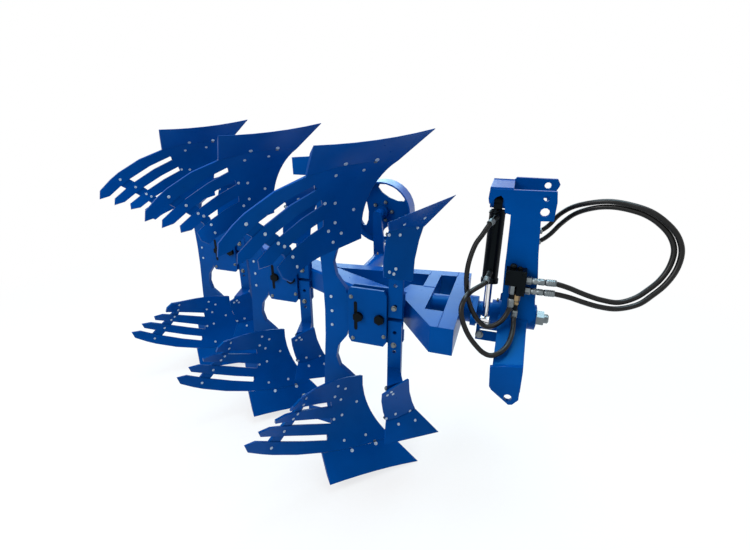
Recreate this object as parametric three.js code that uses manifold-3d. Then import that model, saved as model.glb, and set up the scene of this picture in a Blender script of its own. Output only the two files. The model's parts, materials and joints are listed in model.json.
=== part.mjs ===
// Three-furrow reversible plough, in millimetres.
// +X runs forward to the headstock, +Y to the land side, +Z up.
// Everything is laid out from the rear leg bolt of the front body, on the middle plane
// of the frame; the finished group is then set down with its lower shares on z = 0.
import * as THREE from "three";
import { mergeVertices } from "three/addons/utils/BufferGeometryUtils.js";
import Module from "manifold-3d";

const wasm = await Module();
wasm.setup();

// Clearances
const seat = 0.3;
const slip = 0.4;
const seamGap = 0.8;
const backGap = 0.8;
const overrun = 30;

// Pairs of bodies along the diagonal beam
const furrows = 3;
const bodyPitch = 544;
const furrowPitch = 265;

// Body: board, share, landside
const tipDepth = 731;
const boardLength = 450;
const boardReach = 500;
const landPlane = 45;
const boardThickness = 8;
const strapThickness = 7;
const shareThickness = 12;
const shareEdge = 2;
const landsideThickness = 10;
const landsideLength = 430;

// Leg plate and its bolts
const legThickness = 25;
const legNearFace = 12.7;
const legWidth = 300;
const boltRadius = 12;
const boltSpacing = 91;
const boltHeadFlats = 38;
const boltHeadHeight = 14;
const boltWasherRadius = 21;
const boltWasherHeight = 3;

// Bracket
const cheekThickness = 12;
const cheekLength = 165;
const cheekHeight = 250;
const farCheekLength = 230;
const bracketWebHeight = 70;

// Beam
const beamSize = 110;
const beamLength = 1435;
const beamOffset = 127;
const beamFront = 110;
const beamCorner = 9;

// Front frame
const frameFront = 400;
const frameNear = 90;
const plateReach = 268;
const frameFar = 492;
const railWidth = 60;
const crossBarBack = 210;
const crossBarWidth = 55;

// Skimmer
const shankWidth = 58;
const shankThickness = 22;
const shankFront = 180.3;
const shankLength = 322;
const shankStart = 8;
const shankHole = 8;
const skimmerDepth = 518;
const skimmerLength = 359;
const skimmerReach = 192;
const skimmerThickness = 6;

// Turnover spindle
const spindleY = 220;
const shaftRadius = 38;
const flangeRadius = 58;
const flangeThickness = 39;
const crankThickness = 21;
const crankRadius = 100;
const crankPinRadius = 14;
const crankEdge = 24;
const threadRadius = 20;
const nutFlats = 55;
const nutHeight = 28;

// Headstock
const mastStart = 455;
const mastLength = 240;
const mastTop = 534;
const plateThickness = 15;
const mastGap = 200;
const housingRadius = 52;
const housingStart = 516;
const housingLength = 174;
const webDepth = 150;
const farEarRise = 10;
const hitchDrop = 222;
const hitchReach = 193;
const linkPinRadius = 15;
const hitchPinRadius = 14;
const stopStart = 463;
const stopDepth = 61;

// Turnover cylinder
const cylinderX = 496;
const cylinderPinZ = 470;
const barrelRadius = 30;
const barrelLength = 322;
const barrelBore = 18;
const rodRadius = 14;
const rodEngaged = 65;
const rodStroke = 110;
const topPinRadius = 12;
const eyeRadius = 24;
const eyeWidth = 32;
const lugRadius = 30;
const lugThickness = 14;
const portRadius = 10;

// Hydraulics
const hoseRadius = 9.5;
const valveStart = 554;
const valveLength = 73;
const valveDepth = 44;
const valveHeight = 60;
const valveBottom = 190;
const nozzleRadius = 10;
const nozzleReach = 68;
const connectorShare = 0.5;
const connectorRadius = 14;
const connectorLength = 58;
const connectorNose = 9;
const holderThickness = 8;

// Gauge wheel
const wheelRadius = 172;
const wheelWidth = 112;
const wheelWall = 8;
const wheelDisc = 800;
const discThickness = 8;
const hubRadius = 34;
const axleRadius = 16;
const wheelX = -145;
const wheelRise = 250;
const pivotX = -130;
const pivotRadius = 22;
const pivotHubRadius = 38;
const armThickness = 24;
const armWidth = 64;
const armPlane = 700;

// Facets
const roundSides = 20;
const boltSides = 10;
const wheelSides = 32;

// Looks
const enamel = (color) => new THREE.MeshStandardMaterial({ color, roughness: 0.3, metalness: 0.1 });
const steel = (color) => new THREE.MeshStandardMaterial({ color, roughness: 0.4, metalness: 0.8 });
const blue = enamel(0x0a4fae);
const deepBlue = enamel(0x073f93);
const paleSteel = steel(0xb9bcc0);
const chrome = steel(0xdfe3e8);
const blackSteel = new THREE.MeshStandardMaterial({ color: 0x17191b, roughness: 0.5, metalness: 0.4 });
const rubber = new THREE.MeshStandardMaterial({ color: 0x1b1b1c, roughness: 0.7, metalness: 0 });

// Solids
function turnedOut(geometry) {
  const place = geometry.attributes.position;
  const order = geometry.index;
  let volume = 0;
  const corner = (i) => new THREE.Vector3().fromBufferAttribute(place, i);
  for (let i = 0; i < order.count; i += 3) {
    const [a, b, c] = [order.getX(i), order.getX(i + 1), order.getX(i + 2)].map(corner);
    volume += a.dot(b.cross(c));
  }
  if (volume < 0) {
    for (let i = 0; i < order.count; i += 3) {
      const first = order.getX(i);
      order.setX(i, order.getX(i + 1));
      order.setX(i + 1, first);
    }
  }
  return geometry;
}

function bareMesh(geometry) {
  const bare = geometry.clone();
  bare.deleteAttribute("normal");
  bare.deleteAttribute("uv");
  const merged = mergeVertices(bare);
  const order = merged.index.array;
  const kept = [];
  for (let i = 0; i < order.length; i += 3) {
    const [a, b, c] = [order[i], order[i + 1], order[i + 2]];
    if (a !== b && b !== c && c !== a) {
      kept.push(a, b, c);
    }
  }
  merged.setIndex(kept);
  return turnedOut(merged);
}

function solid(geometry) {
  const bare = bareMesh(geometry);
  return new wasm.Manifold(new wasm.Mesh({
    numProp: 3,
    vertProperties: new Float32Array(bare.attributes.position.array),
    triVerts: new Uint32Array(bare.index.array),
  }));
}

function fromSolid(shape) {
  const mesh = shape.getMesh();
  const geometry = new THREE.BufferGeometry();
  geometry.setAttribute("position", new THREE.BufferAttribute(new Float32Array(mesh.vertProperties), 3));
  geometry.setIndex(new THREE.BufferAttribute(new Uint32Array(mesh.triVerts), 1));
  return geometry;
}

function join(...pieces) {
  return fromSolid(pieces.map(solid).reduce((all, piece) => all.add(piece)));
}

function cut(body, ...tools) {
  return fromSolid(tools.map(solid).reduce((left, tool) => left.subtract(tool), solid(body)));
}

// Upper pieces are the lower ones mirrored in the middle plane
function mirrored(geometry) {
  const copy = bareMesh(geometry);
  copy.scale(1, 1, -1);
  return turnedOut(copy);
}

function acrossMast(geometry) {
  const copy = bareMesh(geometry);
  copy.scale(1, -1, 1);
  copy.translate(0, 2 * spindleY, 0);
  return turnedOut(copy);
}

// Flat plates: an outline in one plane, given a thickness along the third axis
function slab(outline, thickness, holes = []) {
  const shape = new THREE.Shape(outline.map(([a, b]) => new THREE.Vector2(a, b)));
  for (const [a, b, radius] of holes) {
    shape.holes.push(new THREE.Path(ring(around(radius, boltSides), boltSides).map(([p, q]) => new THREE.Vector2(a + p, b + q))));
  }
  return new THREE.ExtrudeGeometry(shape, { depth: thickness, bevelEnabled: false, steps: 1 });
}

// Radius at the corners of a faceted bore whose flats clear a given radius
function around(radius, sides) {
  return radius / Math.cos(Math.PI / sides);
}

function ring(radius, sides) {
  return Array.from({ length: sides }, (_, i) => {
    const turn = (2 * Math.PI * i) / sides;
    return [radius * Math.cos(turn), radius * Math.sin(turn)];
  });
}

function plateXY(outline, low, thickness, holes) {
  return slab(outline, thickness, holes).translate(0, 0, low);
}

function plateXZ(outline, near, thickness, holes) {
  return slab(outline, thickness, holes).rotateX(Math.PI / 2).translate(0, near + thickness, 0);
}

function plateYZ(outline, back, thickness, holes) {
  const turn = new THREE.Matrix4().makeBasis(
    new THREE.Vector3(0, 1, 0), new THREE.Vector3(0, 0, 1), new THREE.Vector3(1, 0, 0));
  return slab(outline, thickness, holes).applyMatrix4(turn).translate(back, 0, 0);
}

function block(x, y, z) {
  const size = [x, y, z].map(([low, high]) => high - low);
  const middle = [x, y, z].map(([low, high]) => (low + high) / 2);
  return new THREE.BoxGeometry(...size).translate(...middle);
}

// A round bar between two points, and a six-sided one
function bar(from, to, radius, sides = roundSides, endRadius = radius) {
  const [start, end] = [new THREE.Vector3(...from), new THREE.Vector3(...to)];
  const run = end.clone().sub(start);
  const turn = new THREE.Quaternion().setFromUnitVectors(new THREE.Vector3(0, 1, 0), run.clone().normalize());
  const round = new THREE.CylinderGeometry(endRadius, radius, run.length(), sides);
  return round.applyQuaternion(turn).translate(...start.add(end).divideScalar(2).toArray());
}

function hexBar(from, to, flats) {
  return bar(from, to, flats / Math.sqrt(3), 6);
}

function sized(shares, width, height) {
  return shares.map(([a, b]) => [a * width, b * height]);
}

// Curved plates: a front surface and a back one over a grid of (u, v) cells
function curvedPlate(us, vs, front, back, keep = () => true) {
  const places = [];
  const order = [];
  const known = new Map();
  const layers = [front, back];
  const corner = (i, j, layer) => {
    const key = `${i} ${j} ${layer}`;
    if (!known.has(key)) {
      known.set(key, places.length / 3);
      places.push(...layers[layer](us[i], vs[j], i, j).toArray());
    }
    return known.get(key);
  };
  const held = (i, j) => i >= 0 && j >= 0 && i < us.length - 1 && j < vs.length - 1 && keep(i, j);
  const quad = (a, b, c, d) => order.push(a, b, c, a, c, d);
  for (let i = 0; i < us.length - 1; i += 1) {
    for (let j = 0; j < vs.length - 1; j += 1) {
      if (!held(i, j)) {
        continue;
      }
      const round = [[i, j], [i + 1, j], [i + 1, j + 1], [i, j + 1]];
      const beyond = [[i, j - 1], [i + 1, j], [i, j + 1], [i - 1, j]];
      quad(...round.map(([p, q]) => corner(p, q, 0)));
      quad(...round.map(([p, q]) => corner(p, q, 1)).reverse());
      beyond.forEach((neighbour, side) => {
        if (!held(...neighbour)) {
          const [p, q] = [round[side], round[(side + 1) % round.length]];
          const wall = [corner(...q, 0), corner(...p, 0), corner(...p, 1), corner(...q, 1)];
          // Walls that face each other across a seam are split along the same diagonal
          quad(...(side < 2 ? wall : [...wall.slice(1), wall[0]]));
        }
      });
    }
  }
  const geometry = new THREE.BufferGeometry();
  geometry.setAttribute("position", new THREE.Float32BufferAttribute(places, 3));
  geometry.setIndex(order);
  return turnedOut(geometry);
}

// Surface of the board: a net of four by four control points, from the land side out to
// the slat tips and from the share seam up, as shares of length, reach and tip depth
const boardNetShare = [
  [[0.315, 0, 0.85], [-0.055, 0.315, 0.87], [-0.535, 0.66, 0.785], [-0.66, 1, 0.53]],
  [[0.115, 0, 0.77], [0.01, 0.11, 0.83], [-0.42, 0.39, 0.635], [-0.59, 0.92, 0.437]],
  [[-0.02, 0, 0.607], [-0.095, 0.094, 0.65], [-0.37, 0.256, 0.535], [-0.39, 0.684, 0.431]],
  [[0, 0, 0.437], [-0.235, 0.245, 0.379], [-0.327, 0.427, 0.39], [-0.296, 0.677, 0.327]],
];
const skimmerNetShare = [
  [[0.713, -0.01, 0.786], [0.62, 0.22, 0.8], [0.53, 0.42, 0.81], [0.446, 0.573, 0.792]],
  [[0.67, 0.1, 0.68], [0.56, 0.3, 0.7], [0.46, 0.5, 0.7], [0.4, 0.62, 0.675]],
  [[0.645, 0.22, 0.56], [0.55, 0.4, 0.57], [0.45, 0.58, 0.57], [0.39, 0.68, 0.56]],
  [[0.66, 0.333, 0.411], [0.57, 0.5, 0.43], [0.48, 0.66, 0.45], [0.426, 0.76, 0.483]],
];

function weights(t) {
  const s = 1 - t;
  return [s * s * s, 3 * s * s * t, 3 * s * t * t, t * t * t];
}

function slopes(t) {
  const s = 1 - t;
  return [-3 * s * s, 3 * s * s - 6 * s * t, 6 * s * t - 3 * t * t, 3 * t * t];
}

function surface(netShare, length, reach, depth, start) {
  const net = netShare.map((row) => row.map(([x, y, z]) => (
    new THREE.Vector3(x * length, start - y * reach, -z * depth))));
  const blend = (across, up) => {
    const sum = new THREE.Vector3();
    up.forEach((q, j) => across.forEach((p, i) => sum.addScaledVector(net[j][i], p * q)));
    return sum;
  };
  const at = (u, v) => blend(weights(u), weights(v));
  const rise = (u, v) => blend(weights(u), slopes(v)).normalize();
  const facing = (u, v) => {
    const side = blend(slopes(u), weights(v));
    const normal = side.cross(blend(weights(u), slopes(v))).normalize();
    return normal.x < 0 ? normal.negate() : normal;
  };
  // Back of a plate of this thickness; its first edge stays flush with the land side
  const behind = (u, v, depthBehind, from = at(u, v)) => {
    const normal = facing(u, v);
    if (u === 0) {
      const flush = new THREE.Vector3(normal.x, 0, normal.z);
      return from.clone().addScaledVector(flush, -depthBehind / flush.lengthSq());
    }
    return from.clone().addScaledVector(normal, -depthBehind);
  };
  return { at, rise, facing, behind };
}

const board = surface(boardNetShare, boardLength, boardReach, tipDepth, landPlane);

// Four slats on one solid shin: the slots start at the root and run out at the tips
const rootShare = 0.47;
const boardAcrossShare = [0, 0.16, 0.32, rootShare, 0.63, 0.79, 0.86, 1];
const slatEdgesShare = [[0, 0.16], [0.24, 0.39], [0.47, 0.64], [0.72, 1]];
const slatStepShare = [0, 0.5, 1];
const slatTipShare = 0.045;
const boardUpShare = slatEdgesShare.flatMap(([low, high]) => slatStepShare.map((t) => low + t * (high - low)));

function isSlot(j) {
  return j % slatStepShare.length === slatStepShare.length - 1;
}

function isSlatEdge(j) {
  return j % slatStepShare.length === 0 || isSlot(j);
}

function boardAcross(u, i, j) {
  return i === boardAcrossShare.length - 1 && isSlatEdge(j) ? u - slatTipShare : u;
}

function mouldboard() {
  const front = (u, v, i, j) => board.at(boardAcross(u, i, j), v);
  const back = (u, v, i, j) => board.behind(boardAcross(u, i, j), v, boardThickness);
  const rootIndex = boardAcrossShare.indexOf(rootShare);
  const plate = curvedPlate(boardAcrossShare, boardUpShare, front, back, (i, j) => i < rootIndex || !isSlot(j));
  const strapAcrossShare = [0.79, 0.86];
  const strapUpShare = [0.04, 0.2, 0.435, 0.68, 0.96];
  const strap = curvedPlate(strapAcrossShare, strapUpShare,
    (u, v) => board.behind(u, v, boardThickness / 2),
    (u, v) => board.behind(u, v, boardThickness + strapThickness));
  return join(plate, strap);
}

// Share: ruled between the board's lower edge and a cutting edge whose point dips
const wingShare = [-0.1, 0.578, 0.944];
const tipShare = [0.6, 0.006, 1];
const dipShare = 0.056;
const shareAcrossShare = [0, 0.17, 0.34, 0.51, 0.68, 0.84, 1];
const shareUpShare = [0, 0.3, 1];

// The seam follows the straight runs of the board's lower edge
function alongSeam(s, value) {
  const u = s * rootShare;
  const next = Math.max(1, boardAcrossShare.findIndex((line) => line >= u - rootShare / overrun));
  const [low, high] = [boardAcrossShare[next - 1], boardAcrossShare[next]];
  return value(low).lerp(value(high), (u - low) / (high - low));
}

function shareSeam(s, gap) {
  return alongSeam(s, (u) => board.at(u, 0).addScaledVector(board.rise(u, 0), -gap));
}

function shareInward(s) {
  return alongSeam(s, (u) => board.behind(u, 0, 1).sub(board.at(u, 0)));
}

function cuttingEdge(s) {
  const x = THREE.MathUtils.lerp(tipShare[0], wingShare[0], s) * boardLength;
  const y = landPlane - THREE.MathUtils.lerp(tipShare[1], wingShare[1], s) * boardReach;
  const z = -tipDepth * (tipShare[2] - dipShare * (1 - (1 - s) ** 2));
  return new THREE.Vector3(x, y, z);
}

function shareFront(s, v, gap = seamGap) {
  return cuttingEdge(s).lerp(shareSeam(s, gap), v);
}

function shareBlade() {
  const thick = (v) => THREE.MathUtils.lerp(shareEdge, shareThickness, Math.min(1, v / shareUpShare[1]));
  const back = (s, v) => shareFront(s, v).addScaledVector(shareInward(s), thick(v));
  return curvedPlate(shareAcrossShare, shareUpShare, (s, v) => shareFront(s, v), back);
}

// Room in front of the board's and the share's back faces, taken out of what lies behind them
const roomWay = new THREE.Vector3(0.62, -0.68, 0.2).multiplyScalar(boardReach / 2);

function boardRoom() {
  const acrossShare = [-0.2, ...boardAcrossShare.slice(0, 5)];
  const upShare = [...boardUpShare, 1.03];
  const back = (u, v) => board.at(u, v).addScaledVector(board.facing(u, v), -boardThickness - backGap);
  return curvedPlate(acrossShare, upShare, (u, v) => back(u, v).add(roomWay), back);
}

function shareRoom() {
  const acrossShare = [-0.14, ...shareAcrossShare, 1.2];
  const upShare = [-0.35, 0.5, 1.08];
  const back = (s, v) => shareFront(s, v, 0).addScaledVector(board.facing(s * rootShare, 0), -shareThickness - backGap);
  return curvedPlate(acrossShare, upShare, (s, v) => back(s, v).add(roomWay), back);
}

const lowerRooms = [boardRoom(), shareRoom()];
const upperRooms = lowerRooms.map(mirrored);

// Leg: one plate carries the lower and the upper frog
const legFarFace = legNearFace + legThickness;
const legDepth = 0.9 * tipDepth;
const legHeadShare = [[0.393, 0], [0.393, 1], [-0.15, 1]];
const legHeadHeight = bracketWebHeight - cheekThickness / 2 - 5 * slip;
const legOutlineShare = [
  [-0.2, 0.17], [-0.33, 0.25], [-0.367, 0.334], [-0.317, 0.41], [-0.18, 0.457], [-0.03, 0.516], [0.01, 0.637],
  [0.06, 0.733], [0.24, 0.818], [0.42, 0.924], [0.49, 0.97], [0.44, 0.996], [-0.37, 0.972], [-0.49, 0.91], [-0.54, 0.83],
  [-0.583, 0.637], [-0.567, 0.456], [-0.527, 0.182], [-0.517, 0],
];
const frogBaseShare = [[0.3, 0.03], [-0.317, -0.32], [-0.43, -0.2], [-0.2, 0.03]];
const frogTopShare = 0.81;
const frogBottomShare = 0.98;

function leg() {
  const half = (sign) => [
    ...sized(legHeadShare, legWidth, sign * legHeadHeight), ...sized(legOutlineShare, legWidth, sign * legDepth),
  ];
  const lower = half(-1);
  const upper = half(1).slice(1, -1).reverse();
  const bolts = [[0, 0, boltRadius + seat], [boltSpacing, 0, boltRadius + seat]];
  const plate = plateXZ([...lower, ...upper], legNearFace, legThickness, bolts);
  const base = frogBaseShare.map(([x, y]) => [x * legWidth, legNearFace + y * boardReach]);
  const frog = plateXY(base, -frogBottomShare * legDepth, (frogBottomShare - frogTopShare) * legDepth);
  return cut(join(plate, frog, mirrored(frog)), ...lowerRooms, ...upperRooms);
}

// Landside: a bar with a tapered heel, behind the share on the leg's furrow side
const landsideShare = [
  [0.46, 0.9], [0.36, 0.72], [-0.36, 0.72], [-0.5, 0.757], [-0.645, 0.757], [-0.648, 0.845], [0.22, 0.892],
];

function landside() {
  return cut(plateXZ(sized(landsideShare, landsideLength, -tipDepth), legFarFace + seat, landsideThickness), ...lowerRooms);
}

// Beam, with its near face along the line of the body brackets
const beamTurn = Math.atan2(furrowPitch, -bodyPitch);
const alongBeam = new THREE.Vector2(Math.cos(beamTurn), Math.sin(beamTurn));
const acrossBeam = new THREE.Vector2(Math.sin(beamTurn), -Math.cos(beamTurn));
const beamSlope = furrowPitch / bodyPitch;

function beamPoint(along, across) {
  const x = beamFront + along * alongBeam.x + across * acrossBeam.x;
  const y = beamOffset - beamSlope * beamFront + along * alongBeam.y + across * acrossBeam.y;
  return [x, y];
}

// Where the near or far face of the beam stands at a given x
function beamFace(x, across) {
  return [x, beamOffset - beamSlope * x + across / acrossBeam.y];
}

function beam() {
  const half = beamSize / 2;
  const soft = half - beamCorner;
  const section = [
    [-half, -soft], [-soft, -half], [soft, -half], [half, -soft],
    [half, soft], [soft, half], [-soft, half], [-half, soft],
  ];
  const bar = plateYZ(section, 0, beamLength).rotateZ(beamTurn);
  return bar.translate(...beamPoint(0, half), 0);
}

// Bracket: two cheeks hold the leg between them, gussets run back to a pad on the beam
const nearCheekFace = legNearFace - seat - cheekThickness;
const farCheekFace = legFarFace + seat;
const cheekShare = [
  [-0.273, -0.42], [-0.2, -0.5], [0.65, -0.5], [0.727, -0.42], [0.727, 0.42], [0.65, 0.5], [-0.2, 0.5], [-0.273, 0.42],
];
const farCheekShare = [
  [-0.196, -0.42], [-0.14, -0.5], [0.74, -0.5], [0.8, -0.42], [0.8, 0.42], [0.74, 0.5], [-0.14, 0.5], [-0.196, 0.42],
];

function bracket() {
  const bolts = [[0, 0, boltRadius + seat], [boltSpacing, 0, boltRadius + seat]];
  const near = plateXZ(sized(cheekShare, cheekLength, cheekHeight), nearCheekFace, cheekThickness, bolts);
  const far = plateXZ(sized(farCheekShare, farCheekLength, cheekHeight), farCheekFace, cheekThickness, bolts);
  const middle = cheekThickness / 2;
  const webX = [-cheekLength / 8, shankFront - shankWidth - cheekThickness / 3];
  const webY = [nearCheekFace + middle, farCheekFace + middle];
  const webZ = [bracketWebHeight - middle, bracketWebHeight + middle];
  const web = block(webX, webY, webZ);
  const padAlong = [beamCorner * 3, farCheekLength * 0.74];
  const padBack = -seat;
  const pad = [
    beamPoint(padAlong[0], padBack), beamPoint(padAlong[1], padBack),
    beamPoint(padAlong[1], padBack - cheekThickness), beamPoint(padAlong[0], padBack - cheekThickness),
  ];
  const padHeight = beamSize / 2 + cheekThickness;
  const gussetBack = -seat - middle;
  const gussetX = [-farCheekLength * 0.19, beamFront - cheekThickness];
  const gusset = plateXY([
    [gussetX[0], farCheekFace + middle], [gussetX[1], farCheekFace + middle],
    beamFace(gussetX[1], gussetBack), beamFace(gussetX[0], gussetBack),
  ], beamSize / 2 - cheekThickness, cheekThickness);
  const beamStart = -2 * beamSize;
  const room = plateXY([
    beamPoint(beamStart, -seat), beamPoint(farCheekLength, -seat),
    beamPoint(farCheekLength, beamSize), beamPoint(beamStart, beamSize),
  ], -beamSize / 2 - seat, beamSize + 2 * seat);
  const body = join(near, far, web, mirrored(web), plateXY(pad, -padHeight, 2 * padHeight), gusset, mirrored(gusset));
  return cut(body, room);
}

function legBolt() {
  const headFace = nearCheekFace - seat;
  const nutFace = farCheekFace + cheekThickness + seat;
  const head = hexBar([0, headFace - boltHeadHeight, 0], [0, headFace - boltWasherHeight / 2, 0], boltHeadFlats);
  const washer = bar([0, headFace - boltWasherHeight, 0], [0, headFace, 0], boltWasherRadius, boltSides);
  const shank = bar([0, headFace - boltWasherHeight, 0], [0, nutFace + boltHeadHeight, 0], boltRadius, boltSides);
  const nut = hexBar([0, nutFace, 0], [0, nutFace + boltHeadHeight - boltWasherHeight, 0], boltHeadFlats);
  return join(head, washer, shank, nut);
}

// Front frame: cross-member, near rail seated round the beam's front corner, far rail and cross bar
function frontFrame() {
  const farRail = (x) => farKnee - (farKneeX - x) * farSlope;
  const face = beamPoint(-seat, beamSize * 0.68);
  const corner = beamPoint(-seat, beamSize + seat);
  const lap = beamPoint(railWidth / 2, beamSize + seat);
  const farKneeX = frameFront * 0.3;
  const farKnee = frameFar * 0.935;
  const farEndX = -frameFront * 0.82;
  const farEnd = beamFace(farEndX, beamSize + seat);
  const farSlope = (farKnee - farEnd[1]) / (farKneeX - farEndX);
  const farInnerEndX = farEndX + railWidth * 1.65;
  const innerKnee = [farKneeX, farKnee - railWidth];
  const crossBack = frameFront - railWidth;
  const barFront = crossBarBack + crossBarWidth;
  const innerRun = (frameFar - railWidth - innerKnee[1]) / (crossBack - innerKnee[0]);
  const innerEdge = (x) => innerKnee[1] + (x - innerKnee[0]) * innerRun;
  const outline = [
    [frameFront, -frameNear], [frameFront, frameFar], [frameFront - railWidth / 2, frameFar],
    [farKneeX, farKnee], farEnd, beamFace(farInnerEndX, beamSize + seat), innerKnee,
    [crossBarBack, innerEdge(crossBarBack)], [crossBarBack, plateReach],
    [lap[0] + railWidth / 3, plateReach], lap, corner, face, [frameFront - railWidth * 1.45, -frameNear],
  ];
  const opening = [
    [crossBack, frameNear / 2], [crossBack, innerEdge(crossBack)],
    [barFront, innerEdge(barFront)], [barFront, frameNear / 2],
  ];
  const half = beamSize / 2;
  const plate = plateXY(outline, -half, beamSize);
  const gap = plateXY(opening, -half - overrun, beamSize + 2 * overrun);
  const stubStart = farRail(pivotX) - railWidth / 2;
  const sleeveEnd = armPlane - armThickness * 2.5 - seat;
  const sleeve = bar([pivotX, stubStart, 0], [pivotX, sleeveEnd, 0], pivotHubRadius);
  const stub = bar([pivotX, stubStart, 0], [pivotX, armPlane + armThickness * 1.5, 0], pivotRadius);
  const tubeBack = crossBarBack + crossBarWidth / 2;
  const tube = bar([tubeBack, spindleY, 0], [frameFront - railWidth / 2, spindleY, 0], beamSize * 0.41);
  return join(cut(plate, gap), sleeve, stub, tube);
}

// Skimmer: a flat shank with a row of holes, and a small board and share on its foot
const shankFace = farCheekFace - seat - shankThickness;

function shank() {
  const x = [shankFront - shankWidth, shankFront];
  const z = [-shankStart - shankLength, -shankStart];
  const outline = [[x[0], z[0]], [x[1], z[0]], [x[1], z[1]], [x[0], z[1]]];
  const holeX = shankFront - shankWidth / 2;
  const holeShare = [0.16, 0.44];
  const holes = holeShare.map((share) => [holeX, z[1] - share * shankLength, shankHole]);
  return plateXZ(outline, shankFace, shankThickness, holes);
}

const skimmer = surface(skimmerNetShare, skimmerLength, skimmerReach, skimmerDepth, 0);

function skimmerBody() {
  const acrossShare = [0, 0.3, 0.65, 1];
  const upShare = [0, 0.3, 0.65, 1];
  const plate = curvedPlate(acrossShare, upShare, (u, v) => skimmer.at(u, v),
    (u, v) => skimmer.behind(u, v, skimmerThickness));
  const point = new THREE.Vector3(skimmerLength, shankThickness, -skimmerDepth);
  const wing = new THREE.Vector3(skimmerLength * 0.49, -skimmerReach * 0.97, -skimmerDepth * 0.88);
  const edge = (s) => point.clone().lerp(wing, s);
  const lap = (s) => skimmer.at(s, 0.03).addScaledVector(skimmer.facing(s, 0), skimmerThickness / 2);
  const bladeFront = (s, v) => edge(s).lerp(lap(s), v);
  const bladeUp = [0, 0.3, 1];
  const thick = (v) => THREE.MathUtils.lerp(shareEdge, skimmerThickness * 1.3, Math.min(1, v / bladeUp[1]));
  const blade = curvedPlate(acrossShare, bladeUp, bladeFront,
    (s, v) => bladeFront(s, v).addScaledVector(skimmer.facing(s, 0), -thick(v)));
  const back = (v) => {
    const near = skimmer.behind(0.25, v, skimmerThickness / 2);
    const far = skimmer.behind(0.8, v, skimmerThickness / 2);
    return [near, far];
  };
  const [nearBack, farBack] = back(0.5);
  const footTop = -shankStart - shankLength * 0.7;
  const shankBack = shankFront - shankWidth;
  const foot = plateXY([
    [shankFront, shankFace - seat], [shankBack, shankFace - seat], [farBack.x, farBack.y], [nearBack.x, nearBack.y],
  ], footTop - shankLength * 0.28, shankLength * 0.28);
  return join(plate, blade, foot);
}

// Turnover spindle: flange on the cross-member, crank with its pin, shaft in the bearing housing
const crankBack = frameFront + seat + flangeThickness;
const crankFront = crankBack + crankThickness;
const housingEnd = housingStart + housingLength;
const nutBack = housingEnd + seat + boltWasherHeight;

function spindle() {
  const at = (x, y = 0, z = 0) => [x, spindleY + y, z];
  const flange = bar(at(frameFront + seat), at(crankBack), flangeRadius);
  const crankOutline = [];
  const steps = roundSides / 2;
  for (let i = 0; i <= steps; i += 1) {
    const turn = Math.PI * (0.5 + i / steps);
    crankOutline.push([spindleY - crankRadius + crankEdge * Math.cos(turn), crankEdge * Math.sin(turn)]);
  }
  for (let i = 0; i <= steps; i += 1) {
    const turn = Math.PI * (-0.5 + i / steps);
    crankOutline.push([spindleY + flangeRadius * Math.cos(turn), flangeRadius * Math.sin(turn)]);
  }
  const crank = plateYZ(crankOutline, crankBack - seat, crankThickness + seat);
  const pin = bar(at(crankBack, -crankRadius), at(cylinderX - eyeWidth / 2, -crankRadius), crankPinRadius);
  const shaft = bar(at(frameFront + seat), at(housingEnd), shaftRadius);
  const thread = bar(at(housingEnd - overrun), at(nutBack + nutHeight + seat), threadRadius);
  return join(flange, crank, pin, shaft, thread);
}

function spindleNut() {
  const washer = bar([housingEnd + seat, spindleY, 0], [nutBack, spindleY, 0], shaftRadius);
  const nut = hexBar([nutBack - boltWasherHeight / 2, spindleY, 0], [nutBack + nutHeight, spindleY, 0], nutFlats);
  const bore = bar([housingEnd - overrun, spindleY, 0], [nutBack + nutHeight + overrun, spindleY, 0],
    around(threadRadius + seat, roundSides));
  return cut(join(washer, nut), bore);
}

// Headstock: two mast plates under a roof, bearing housing between webs, legs to the hitch ears
const nearPlateFace = spindleY - mastGap / 2 - plateThickness;
const farPlateFace = spindleY + mastGap / 2;
const nearMastShare = [
  [0.06, 0.993], [0.971, 1], [0.992, 0.929], [0.983, 0.807], [0.808, 0.801], [0.821, 0.717], [0.846, 0.569],
  [0.888, 0.404], [0.896, 0.238], [0.938, 0.099], [0.875, 0.051], [0.821, 0.034], [0.417, -0.041],
  [0.383, 0.474], [0.388, 0.691], [0.375, 0.83], [0.292, 0.839], [0.258, 0.93], [0.21, 0.955], [0.14, 0.94],
  [0.085, 0.905], [0.05, 0.893], [0.033, 0.93], [0.04, 0.975],
];
const farMastShare = [
  [0.375, 0.9], [0.971, 0.9], [0.983, 0.807], [0.808, 0.801], [0.821, 0.717], [0.846, 0.569],
  [0.888, 0.404], [0.896, 0.238], [0.938, 0.099], [0.875, 0.051], [0.821, 0.034], [0.417, -0.041],
  [0.383, 0.474],
];
const earShare = [
  [0.35, -0.14], [0.371, -0.294], [0.408, -0.32], [0.683, -0.416], [0.74, -0.41], [0.821, -0.363],
  [0.817, -0.097],
];
const legBandShare = [
  [0.04, 0.2], [-0.08, 0.09], [-0.92, -0.28], [-1, -0.34], [-1, -0.72], [-0.917, -0.72], [-0.917, -0.44],
  [-0.04, -0.09], [0.04, -0.09],
];

function mastPoints(shares) {
  return shares.map(([x, z]) => [mastStart + x * mastLength, z * mastTop]);
}

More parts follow.
